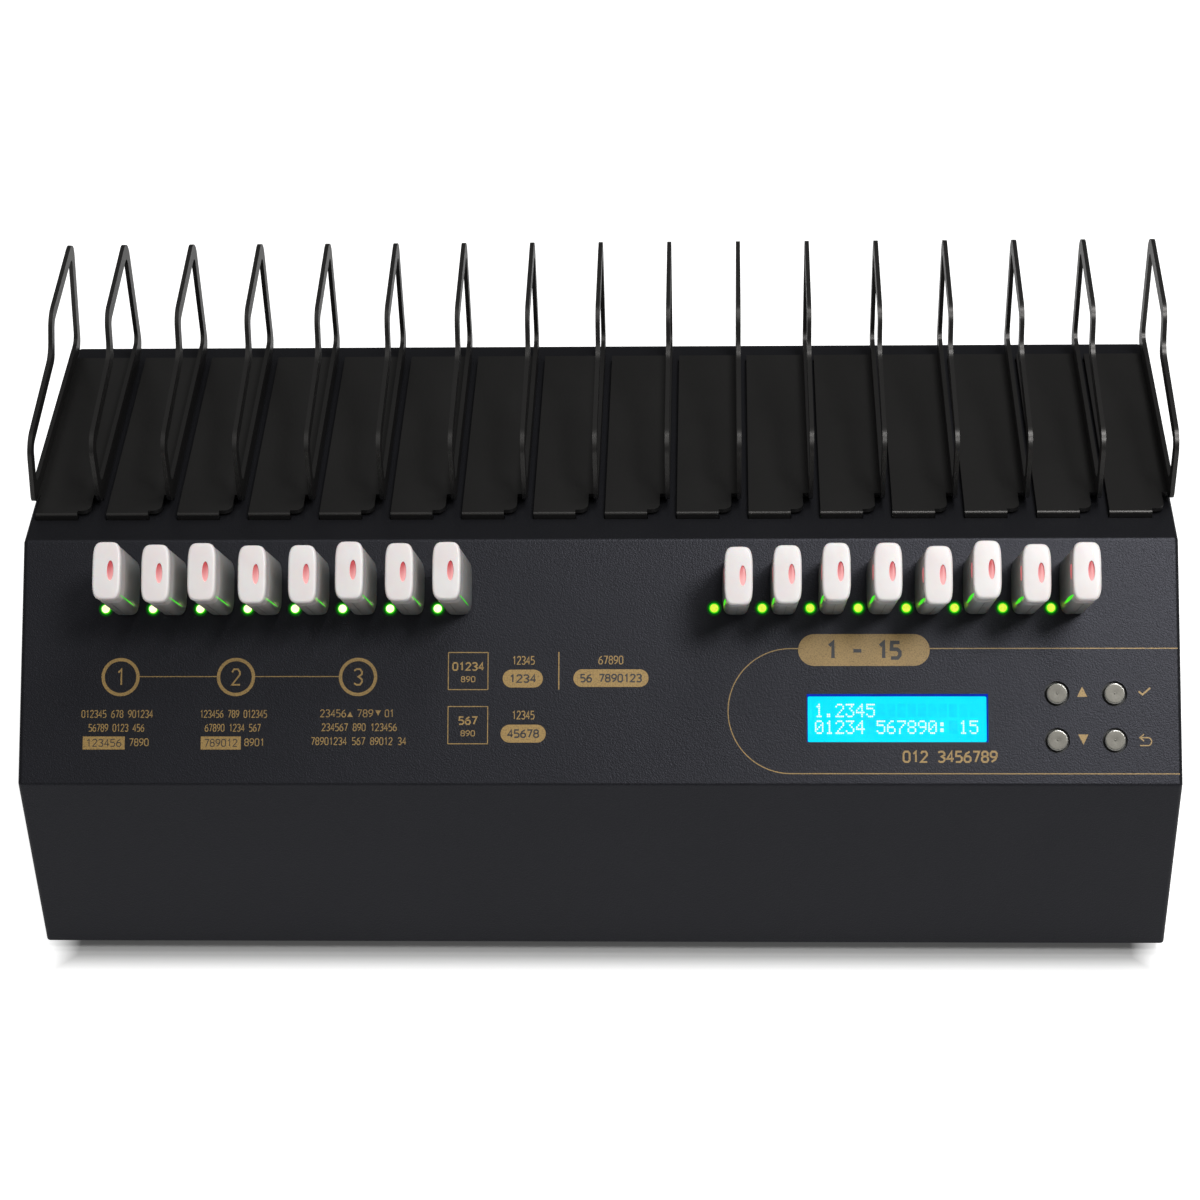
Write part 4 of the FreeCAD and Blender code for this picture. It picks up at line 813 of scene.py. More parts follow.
CASE_COAT = PowderCoat("case_powder_coat", (0.0056, 0.0057, 0.0066), 0.42, 0.42, 0.5, 0.10)
RACK_COAT = PowderCoat("rack_powder_coat", (0.0092, 0.0090, 0.0088), 0.34, 0.6, 0.4, 0.015, (1.0, 0.97, 0.94))
PAN_COAT = PowderCoat("pan_powder_coat", (0.0080, 0.0080, 0.0083), 0.5)
GOLD_INK = Ink("gold_ink", (0.40, 0.25, 0.07), (0.22, 0.135, 0.038))
DARK_INK = Ink("dark_ink", (0.014, 0.014, 0.017), (0.011, 0.011, 0.013))
# the cap's pinkish shade patches are painted light: the pink glow of the drive's eye lamp on the cap
CAP_WHITE = GlossShell("drive_cap_white", (0.91, 0.88, 0.865), (0.90, 0.83, 0.815), 0.36, 9.0, 0.08)
# the drives' collar and body carry painted shade, darker towards the panel
COLLAR = CloudyShell("drive_collar_cloudy", (0.80, 0.75, 0.74), (0.92, 0.87, 0.86), 30.0, 40.0, 0.2)
BODY_GREY = CloudyShell("drive_body_grey", (0.18, 0.185, 0.178), (0.36, 0.345, 0.33), 4.0, 32.0, 0.34)
SEAM_GREY = Moulded("drive_seam_grey", (0.15, 0.14, 0.135), 0.6)
EYE_PINK = SlopeShade("drive_eye_pink", (0.52, 0.08, 0.09), (0.90, 0.45, 0.45))
# painted reflection: a pink patch where a neighbouring drive's lit eye shows in the side
PINK_REFLECTION = Glow("drive_side_pink", (0.66, 0.17, 0.18), (0.52, 0.13, 0.14), 0.9, 4.0)
# painted reflection: green streaks where the lamps show in the drives' glossy sides
STREAK = Glow("drive_streak_green", (0.06, 0.85, 0.02), (0.04, 0.6, 0.02), 1.0, 9.0)
PLUG_STEEL = Metal("drive_plug_steel", (0.68, 0.68, 0.68), 0.3, Working.PLATED, 0.1)
LAMP_BODY = GlossShell("lamp_body_green", (0.10, 0.55, 0.08), (0.06, 0.4, 0.05), 0.12, 2.0)
BUTTON_STEEL = Metal("button_turned_steel", (0.175, 0.168, 0.148), 0.48, Working.PLATED, 0.5)
BUTTON_RIM = Metal("button_rim_steel", (0.50, 0.49, 0.46), 0.26, Working.PLATED, 0.15)
PLATED_STEEL = Metal("plated_steel", (0.55, 0.55, 0.56), 0.3)
DARK_SCREW = Metal("dark_plated_screw", (0.20, 0.20, 0.21), 0.32)
BRASS = Metal("plain_brass", (0.66, 0.48, 0.2), 0.3)
SUPPLY_ALLOY = Metal("supply_alloy", (0.62, 0.62, 0.63), 0.38, Working.ROLLED)
MOULDED_BLACK = Moulded("moulded_black", (0.022, 0.022, 0.024), 0.42)
ROCKER_BLACK = Moulded("rocker_black", (0.018, 0.018, 0.02), 0.22, 1.0, 0.004)
RUBBER_BLACK = Moulded("foot_rubber", (0.02, 0.02, 0.02), 0.75, 0.5, 0.03)
CABLE_GREY = Moulded("cable_grey", (0.36, 0.36, 0.38), 0.5)
SWITCH_BLACK = Moulded("key_switch_black", (0.03, 0.03, 0.03), 0.5)
MARK_WHITE = Moulded("rocker_mark_white", (0.75, 0.75, 0.75), 0.5)
BOARD_GREEN = CircuitBoard("board_green")
PANE = ClearPane("display_pane")
CELL_CYAN = Glow("display_cell_cyan", (0.0, 0.86, 1.0), (0.0, 0.80, 0.98), 1.0, 14.0)
CELL_GHOST = Glow("display_ghost_cyan", (0.0, 0.80, 0.97), (0.0, 0.74, 0.95), 1.0, 3.0)
CELL_EDGE = Glow("display_edge_blue", (0.004, 0.016, 0.30), (0.003, 0.010, 0.22), 1.6, 6.0)
CELL_DOT = Glow("display_dot_white", (0.9, 1.0, 1.0), (0.75, 0.98, 1.0), 1.1, 2.0)
LAMP_CORE = Glow("lamp_core_white", (1.0, 1.0, 0.62), (0.9, 1.0, 0.42), 1.5, 2.0)
LAMP_LIME = Glow("lamp_core_lime", (0.84, 0.98, 0.10), (0.60, 0.88, 0.02), 1.0, 1.2)
LAMP_RIM = Glow("lamp_rim_green", (0.30, 0.95, 0.0), (0.2, 0.9, 0.0), 1.0, 2.0)
# painted light: the green light the lamps spill on the paint and their glare halo
LAMP_SPILL = Glow("lamp_painted_spill_green", (0.02, 0.62, 0.01), (0.015, 0.5, 0.01), 1.0, 2.0)
LAMP_HALO = Glow("lamp_painted_glare_halo_green", (0.002, 0.075, 0.003), (0.001, 0.05, 0.002), 1.0, 2.0)


# Sub-assemblies

@dataclass
class CaseShell:
    """The folded cover, pan, rear panel and everything that keeps its machined solid."""

    node_finishes: dict[str, Finish] = field(default_factory=lambda: {
        "console_cover": CASE_COAT, "base_pan": PAN_COAT, "rear_panel": CASE_COAT,
        "usb_sockets": PLATED_STEEL, "port_board_left": BOARD_GREEN, "port_board_right": BOARD_GREEN,
        "display_window": PANE, "display_bezel": PLATED_STEEL, "display_board": BOARD_GREEN,
        "keypad_board": BOARD_GREEN, "key_switches": SWITCH_BLACK, "standoffs": BRASS,
        "screws": DARK_SCREW, "main_board": BOARD_GREEN, "power_supply": SUPPLY_ALLOY,
        "power_inlet": MOULDED_BLACK, "rocker_housing": MOULDED_BLACK, "power_rocker": ROCKER_BLACK,
        "fan_frame": MOULDED_BLACK, "fan_rotor": MOULDED_BLACK, "cables": CABLE_GREY,
    })

    def dress(self) -> int:
        """Gives each kept solid its finish.

        Returns:
            How many solids were dressed.
        """
        made = {}
        for node, finish in self.node_finishes.items():
            if finish.name not in made:
                made[finish.name] = finish.make()
            dress_node(node, made[finish.name])
        return len(self.node_finishes)


def dress_node(node: str, material: Material) -> None:
    """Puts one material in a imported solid's slots."""
    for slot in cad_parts[node].material_slots:
        slot.material = material


@dataclass
class RackRow:
    """The loops on the deck."""

    count: int = 16
    finish: PowderCoat = RACK_COAT

    def dress(self) -> int:
        """Gives each bracket its finish.

        Returns:
            How many brackets were dressed.
        """
        material = self.finish.make()
        for number in range(1, self.count + 1):
            dress_node("rack_bracket_%02d" % number, material)
        return self.count


@dataclass
class Feet:
    """Four rubber feet with a rolled lower edge and a screw hollow."""

    radius: float = 8.0
    height: float = 6.0
    places: Sequence[Point] = tuple((x, y) for x in (-181.5, 181.5) for y in (-78.95, 74.45))

    def dress(self) -> bpy.types.Object:
        """Builds the feet as one piece.

        Returns:
            The feet.
        """
        form = Form()
        low = self.radius - 1.0
        profile = [
            (0, 1.6), (2.4, 1.6), (2.4, 0.4), (2.8, 0.0), (low - 0.9, 0.0), (low - 0.3, 0.15), (low, 0.6),
            (low + 0.25, 2.2), (self.radius - 0.35, 4.9), (self.radius, 5.4), (self.radius, self.height),
            (0, self.height),
        ]
        for place in self.places:
            form.lathe(profile, place, lambda r, z: 0, 48)
        feet = form.finish("feet_turned", [RUBBER_BLACK.make()], "case", Matrix.Scale(MM, 4))
        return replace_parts(feet, "rubber_feet")


class Bank(Enum):
    """The two banks of ports, each by the X of its first lamp."""

    LEFT = -170.5
    RIGHT = 40.5


class DrivePart(IntEnum):
    """The drives' finishes, in the order of their material slots."""

    BODY = 0
    COLLAR = 1
    CAP = 2
    EYE = 3
    PLUG = 4
    # painted green reflection of the lamps
    STREAK = 5
    SEAM = 6
    # painted pink reflection of a neighbour's eye
    SIDE_EYE = 7


@dataclass(frozen=True)
class Inlay:
    """A painted reflection on a drive's side: a thin lens-shaped patch of glowing colour where a lamp or a lit
    eye shows in the glossy moulding.

    The turns are those of its lower and of its upper end, in degrees from the drive's right side. The reach is
    half its length in degrees, at its ends and at its middle. The rise is its lower and its upper height.
    """

    part: DrivePart
    turns: Point
    reach: Point
    rise: Point


# painted reflections on each bank's drives: green streaks of the lamps, and on the right bank a pink patch of a
# neighbour's eye
PAINTED_REFLECTIONS: dict[Bank, Sequence[Inlay]] = {
    Bank.LEFT: (Inlay(DrivePart.STREAK, (-35.0, -37.0), (0.3, 2.3), (10.0, 37.0)),),
    Bank.RIGHT: (
        Inlay(DrivePart.STREAK, (213.0, 215.0), (1.0, 7.0), (13.0, 38.0)),
        Inlay(DrivePart.STREAK, (-36.0, -36.0), (0.5, 1.6), (34.0, 40.6)),
        Inlay(DrivePart.SIDE_EYE, (178.7, 178.7), (0.3, 3.2), (34.0, 38.6)),
    ),
}


@dataclass
class DriveRow:
    """The flash drives in their ports."""

    bank_size: int = 8
    pitch: float = 16.5
    offset: float = 7.4
    drop: float = 16.8
    width: float = 9.5
    height: float = 19.5
    lift: float = 1.0
    body_top: float = 30.85
    seam: float = 0.3
    collar_top: float = 38.75
    top: float = 42.0
    eye: Point = (1.1, 3.45)
    eye_shift: float = 1.4
    eye_depth: float = 0.45
    fullness: float = 4.4
    seam_line: Point = (0.1, 0.3)
    plug: Point = (4.5, 12.0)
    plug_reach: float = 11.5
    plug_bevel: float = 0.2
    nod_degrees: Sequence[float] = (
        1.4, 0.1, 0.8, -0.4, -0.3, 1.4, 0.6, 1.1, -1.5, -0.8, 0.3, 0.3, -1.3, 1.2, -0.5, 0.4,
    )
    lean_degrees: Sequence[float] = (
        0.86, 0.8, -0.6, 0.0, 0.5, -0.66, -0.34, -1.3, 1.0, 0.6, 0.2, 1.0, 1.15, 0.6, 0.35, 0.35,
    )

    def sections(self) -> tuple[list[Section], list[int]]:
        """The drive's outer sections from its foot to the rim of its face.

        Returns:
            The sections, and the material slot of each band.
        """
        seat = self.collar_top + self.seam
        body, collar, cap, seam = DrivePart.BODY, DrivePart.COLLAR, DrivePart.CAP, DrivePart.SEAM
        steps = [
            (1.8, self.lift, body), (0.9, self.lift + 0.2, body), (0.4, self.lift + 0.6, body),
            (0.25, self.lift + 1.2, body), (0.25, self.body_top - 0.3, body), (0.5, self.body_top, body),
            (1.0, self.body_top + 0.02, seam), (1.0, self.body_top + self.seam - 0.04, seam),
            (0.6, self.body_top + self.seam, seam),
            (0.3, self.body_top + self.seam + 0.15, collar), (0.3, self.collar_top - 0.2, collar),
            (0.5, self.collar_top - 0.05, collar),
            (1.1, self.collar_top, seam), (1.1, seat - 0.02, seam), (0.5, seat, seam), (0.1, seat + 0.3, cap),
            (0.0, self.top - 1.4, cap), (0.08, self.top - 0.85, cap), (0.3, self.top - 0.45, cap),
            (0.65, self.top - 0.19, cap), (1.15, self.top - 0.05, cap), (1.75, self.top, cap),
        ]
        sections = [(self.outline(inset), height) for inset, height, _ in steps]
        return sections, [slot for _, _, slot in steps[1:]] + [cap]

    def outline(self, inset: float) -> list[Point]:
        """The drive's outline, smaller by an inset."""
        return squircle((self.width - inset) / 2, (self.height - inset) / 2, self.fullness)

    def strip(self, start: float, end: float, inset: float, count: int = 6) -> list[Point]:
        """A thin strip of the drive's side, as a closed outline.

        Args:
            start: Turn in degrees at which it starts, from the right side counter-clockwise.
            end: Turn at which it ends.
            inset: Inset of its outer face.
            count: Steps along it.

        Returns:
            The outline's points.
        """
        points = []
        for depth, ends in ((inset, (start, end)), (inset + 0.7, (end, start))):
            for turn in fan(*ends, count):
                c, d = math.cos(turn), math.sin(turn)
                x = math.copysign(abs(c) ** (2 / self.fullness), c) * (self.width - depth) / 2
                y = math.copysign(abs(d) ** (2 / self.fullness), d) * (self.height - depth) / 2
                points.append((x, y))
        return points

    def lens(self, form: Form, reflection: Inlay, inset: float = 0.05, steps: int = 8) -> None:
        """Adds a painted reflection, a thin lens-shaped patch, on the drive's side.

        Args:
            form: The drive's form.
            reflection: The painted reflection.
            inset: Inset of its outer face.
            steps: Steps along it.
        """
        sections = []
        for step in range(steps + 1):
            share = step / steps
            turn = reflection.turns[0] + (reflection.turns[1] - reflection.turns[0]) * share
            half = reflection.reach[0] + (reflection.reach[1] - reflection.reach[0]) * math.sin(math.pi * share)
            height = reflection.rise[0] + (reflection.rise[1] - reflection.rise[0]) * share
            sections.append((self.strip(turn - half, turn + half, inset), height))
        form.loft(sections, [reflection.part] * len(sections))

    def form(self, bank: Bank) -> Form:
        """One drive about its own middle, standing on the panel's plane.

        Args:
            bank: Its bank, which settles where the lamps show in its sides as painted reflections.

        Returns:
            The form.
        """
        form = Form()
        sections, slots = self.sections()
        rim = form.loft(sections, slots, (True, False))
        floor = self.top - self.eye_depth
        cap, eye = DrivePart.CAP, DrivePart.EYE
        for squeeze, height, slot in ((1.0, self.top, cap), (0.97, self.top - 0.08, cap), (0.93, floor, eye),
                                      (0.6, floor + 0.12, eye), (0.3, floor + 0.18, eye)):
            outline = squircle(self.eye[0] * squeeze, self.eye[1] * squeeze, 2.0, len(rim), (self.eye_shift, 0.0))
            ring = form.ring(outline, height)
            form.bridge(rim, ring, slot)
            rim = ring
        form.face(rim, eye)
        # painted reflections of the lamps and of a neighbour's eye on the drive's side
        for reflection in PAINTED_REFLECTIONS[bank]:
            self.lens(form, reflection)
        line = rounded(*self.seam_line, 0.02, 1, (0.0, -(self.height - self.seam_line[1]) / 2))
        form.loft([(line, self.lift + 2.0), (line, self.body_top - 0.4)], [DrivePart.SEAM] * 2)
        plug = rounded(*self.plug, 0.35, 3)
        tip = rounded(self.plug[0] - self.plug_bevel, self.plug[1] - self.plug_bevel, 0.3, 3)
        ends = ((plug, self.lift), (plug, self.plug_bevel - self.plug_reach), (tip, -self.plug_reach))
        form.loft(ends, [DrivePart.PLUG] * 3)
        return form

    def dress(self) -> int:
        """Builds each drive and lets it ride on its own body.

        Returns:
            How many drives were made.
        """
        finishes = [f.make() for f in (
            BODY_GREY, COLLAR, CAP_WHITE, EYE_PINK, PLUG_STEEL, STREAK, SEAM_GREY, PINK_REFLECTION)]
        for number, (nod, lean) in enumerate(zip(self.nod_degrees, self.lean_degrees)):
            bank = tuple(Bank)[number // self.bank_size]
            start = bank.value + self.offset + self.pitch * (number % self.bank_size)
            shift = Matrix.Translation((start, PANEL.up(self.drop), 0.0))
            turn = Matrix.Rotation(-math.radians(nod), 4, "X") @ Matrix.Rotation(math.radians(lean), 4, "Y")
            drive = self.form(bank).finish(
                "flash_drive_%02d_dressed" % (number + 1), finishes, "drive_%02d" % (number + 1),
                PANEL.matrix() @ shift @ turn)
            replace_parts(drive, "flash_drive_%02d" % (number + 1))
        return len(self.lean_degrees)


class LampPart(IntEnum):
    """The lamps' finishes, in the order of their material slots."""

    CORE = 0
    RIM = 1
    BODY = 2
    LIME = 3
    LEAD = 4
    # painted spill light and glare halo on the paint
    SPILL = 5
    HALO = 6


@dataclass
class LampRow:
    """The lamps beside the drives."""

    pitch: float = 16.5
    drop: float = 24.0
    count: int = 8
    core_radius: float = 1.3
    foot: float = 1.53
    spill: float = 1.85
    halo: float = 2.5
    glow_skin: Point = (0.002, 0.012)
    lead: float = 0.5
    lead_side: float = 0.75
    lead_ends: Point = (-14.2, -4.2)

    def dress(self) -> bpy.types.Object:
        """Builds the lamps as one piece: domes, the light they spill on the paint, painted as flat glowing rings
        of green spill and glare, and the bodies behind.

        Returns:
            The lamps.
        """
        form = Form()
        profile = [
            (0, 1.2), (0.35, 1.18), (0.75, 1.08), (1.0, 0.93), (1.2, 0.72), (1.38, 0.42), (1.5, 0.0),
            (1.5, -3.2), (2.0, -3.2), (2.0, -4.2), (0, -4.2),
        ]
        glows = ((self.foot, self.spill, LampPart.SPILL), (self.spill, self.halo, LampPart.HALO))
        for bank in Bank:
            core = LampPart.CORE if bank is Bank.LEFT else LampPart.LIME
            for step in range(self.count):
                at = (bank.value + step * self.pitch, PANEL.up(self.drop))
                form.lathe(profile, at, lambda r, z: self.zone(r, z, core), 32)
                # painted spill light and glare halo, as flat glowing rings on the paint
                for inner, outer, slot in glows:
                    rim, hole = (round_outline(radius, 32, at) for radius in (outer, inner))
                    form.frame_of(rim, hole, *self.glow_skin, slot)
                for side in (-self.lead_side, self.lead_side):
                    lead = rounded(self.lead, self.lead, 0.1, 2, (at[0] + side, at[1]))
                    form.prism(lead, *self.lead_ends, LampPart.LEAD)
        finishes = [f.make() for f in (
            LAMP_CORE, LAMP_RIM, LAMP_BODY, LAMP_LIME, PLATED_STEEL, LAMP_SPILL, LAMP_HALO)]
        lamps = form.finish("lamps_lit", finishes, "case", PANEL.matrix(), 60.0)
        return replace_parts(lamps, "led_lamps")

    def zone(self, radius: float, height: float, core: LampPart) -> LampPart:
        """The material slot of a lamp's band.

        Args:
            radius: The band's middle radius.
            height: Its middle height.
            core: Slot of the lit core, whose tone differs from group to group.

        Returns:
            The slot of the core, of the green rim or of the unlit body.
        """
        if height < 0:
            return LampPart.BODY
        return core if radius < self.core_radius else LampPart.RIM


class ButtonPart(IntEnum):
    """The buttons' finishes, in the order of their material slots."""

    FACE = 0
    KEY = 1
    EDGE = 2


@dataclass
class PushButtons:
    """Four turned metal buttons."""

    names: Sequence[str] = ("button_up", "button_ok", "button_down", "button_back")
    left: float = 157.6
    drop: float = 53.6
    pitch: Point = (19.6, 16.0)
    face_radius: float = 3.25
    metal_foot: float = -0.6

    def dress(self) -> int:
        """Builds each button on its own body.

        Returns:
            How many buttons were made.
        """
        finishes = [BUTTON_STEEL.make(), SWITCH_BLACK.make(), BUTTON_RIM.make()]
        profile = [
            (0, 1.02), (0.22, 1.02), (0.36, 0.96), (0.5, 0.97), (1.8, 0.99), (2.9, 1.0), (3.2, 0.99),
            (3.36, 0.95), (3.5, 0.86), (3.6, 0.72), (3.65, 0.5), (3.65, -1.5), (4.9, -1.5), (4.9, -2.5),
            (1.7, -2.5), (1.7, -5.4), (0, -5.4),
        ]
        for index, name in enumerate(self.names):
            at = (self.left + self.pitch[0] * (index % 2), PANEL.up(self.drop + self.pitch[1] * (index // 2)))
            form = Form()
            form.lathe(profile, at, self.zone, 56)
            button = form.finish(name + "_turned", finishes, name + "_body", PANEL.matrix(), 24.0)
            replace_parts(button, name)
        return len(self.names)

    def zone(self, radius: float, height: float) -> ButtonPart:
        """The material slot of a button's band.

        Args:
            radius: The band's middle radius.
            height: Its middle height.

        Returns:
            The slot of the face, of the polished edge or of the key below.
        """
        if height < self.metal_foot:
            return ButtonPart.KEY
        return ButtonPart.FACE if radius < self.face_radius else ButtonPart.EDGE


DIGITS: dict[str, str] = {
    "0": "01110 10001 10011 10101 11001 10001 01110", "1": "00100 01100 00100 00100 00100 00100 01110",
    "2": "01110 10001 00001 00010 00100 01000 11111", "3": "11111 00010 00100 00010 00001 10001 01110",
    "4": "00010 00110 01010 10010 11111 00010 00010", "5": "11111 10000 11110 00001 00001 10001 01110",
    "6": "00110 01000 10000 11110 10001 10001 01110", "7": "11111 00001 00010 00100 01000 01000 01000",
    "8": "01110 10001 10001 01110 10001 10001 01110", "9": "01110 10001 10001 01111 00001 00010 01100",
    ".": "00000 00000 00000 00000 00000 01100 01100", ":": "00000 01100 01100 00000 01100 01100 00000",
}


class DisplayPart(IntEnum):
    """The display's finishes, in the order of their material slots."""

    EDGE = 0
    CELL = 1
    GHOST = 2
    DOT = 3


@dataclass
class Display:
    """The lit character display: cell, edge, dots and ghost places."""

    middle: Point = (103.2, 61.9)
    cell: Point = (68.0, 22.0)
    lit: Point = (61.2, 15.7)
    surface: float = -3.2
    back: float = -8.2
    first: Point = (75.0, 56.7)
    place_pitch: Point = (3.53, 5.75)
    dot_pitch: Point = (0.6, 0.68)
    dot: Point = (0.5, 0.56)
    dot_rise: float = 0.03
    ghost_size: Point = (2.9, 4.7)
    ghost_rise: float = 0.01
    columns: int = 16
    lines: Sequence[str] = ("1.2345", "01234 567890: 15")

    def dress(self) -> bpy.types.Object:
        """Builds the display's glass with everything that it shows.

        Returns:
            The display object.
        """
        form = Form()
        middle = (self.middle[0], PANEL.up(self.middle[1]))
        form.prism(rounded(*self.cell, 0.6, 4, middle), self.back, self.surface - 0.02, DisplayPart.EDGE)
        lit = rounded(*self.lit, 0.5, 4, (middle[0], middle[1] - 0.2))
        form.prism(lit, self.surface - 0.02, self.surface, DisplayPart.CELL)
        for line, text in enumerate(self.lines):
            for column, mark in enumerate(text.ljust(self.columns)):
                x = self.first[0] + column * self.place_pitch[0]
                y = PANEL.up(self.first[1] + line * self.place_pitch[1])
                if mark == " ":
                    self.ghost(form, x, y)
                else:
                    self.mark(form, DIGITS[mark].split(), x, y)
        finishes = [f.make() for f in (CELL_EDGE, CELL_CYAN, CELL_GHOST, CELL_DOT)]
        display = form.finish("display_lit", finishes, "case", PANEL.matrix())
        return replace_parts(display, "display_glass")

    def mark(self, form: Form, rows: Sequence[str], x: float, y: float) -> None:
        """Adds the dots of one mark.

        Args:
            form: The display's form.
            rows: The mark's rows of dots, a one for each lit dot.
            x: Its left edge.
            y: Its upper edge.
        """
        for down, row in enumerate(rows):
            for across, lit in enumerate(row):
                if lit == "1":
                    at = (x + (across + 0.5) * self.dot_pitch[0], y - (down + 0.5) * self.dot_pitch[1])
                    dot = rounded(*self.dot, 0.08, 1, at)
                    form.prism(dot, self.surface, self.surface + self.dot_rise, DisplayPart.DOT)

    def ghost(self, form: Form, x: float, y: float) -> None:
        """Adds the faint unlit place of one mark.

        Args:
            form: The display's form.
            x: Its left edge.
            y: Its upper edge.
        """
        at = (x + 2.5 * self.dot_pitch[0], y - 3.5 * self.dot_pitch[1])
        ghost = rounded(*self.ghost_size, 0.4, 3, at)
        form.prism(ghost, self.surface, self.surface + self.ghost_rise, DisplayPart.GHOST)


class Side(Enum):
    """Which way a triangle points."""

    UP = 1
    DOWN = -1


Arrow = tuple[float, float, float, Side]


STROKES: dict[str, Sequence[Point]] = {
    "0": ((0, 1), (0, 5), (1, 6), (3, 6), (4, 5), (4, 1), (3, 0), (1, 0), (0, 1)),
    "1": ((0.8, 1.3), (2.4, 0), (2.4, 6)),
    "2": ((0, 1.2), (1, 0), (3, 0), (4, 1.1), (4, 2.1), (0, 6), (4.1, 6)),
    "3": ((0, 0.6), (1.2, 0), (3, 0), (4, 1), (4, 2), (2.2, 2.9), (4, 3.9), (4, 5), (3, 6), (1.2, 6), (0, 5.4)),
    "4": ((3, 6), (3, 0), (0, 4.2), (4.3, 4.2)),
    "5": ((3.9, 0), (0.4, 0), (0.2, 2.6), (2.8, 2.6), (4, 3.6), (4, 4.9), (2.9, 6), (0, 6)),
    "6": ((3.4, 0), (1, 1.4), (0, 3.4), (0, 5), (1, 6), (3, 6), (4, 5), (4, 3.6), (3, 2.7), (1, 2.7), (0, 3.6)),
    "7": ((0, 0), (4, 0), (1.4, 6)),
    "8": ((1, 2.8), (0.2, 2), (0.2, 0.9), (1.1, 0), (2.9, 0), (3.8, 0.9), (3.8, 2), (3, 2.8), (1, 2.8),
          (0, 3.8), (0, 5), (1, 6), (3, 6), (4, 5), (4, 3.8), (3, 2.8)),
    "9": ((0.6, 6), (3, 4.6), (4, 2.6), (4, 1), (3, 0), (1, 0), (0, 1), (0, 2.4), (1, 3.3), (3, 3.3), (4, 2.4)),
    "-": ((0.2, 3.2), (3.8, 3.2)),
}


class InkPart(IntEnum):
    """The print's inks, in the order of their material slots."""

    GOLD = 0
    DARK = 1


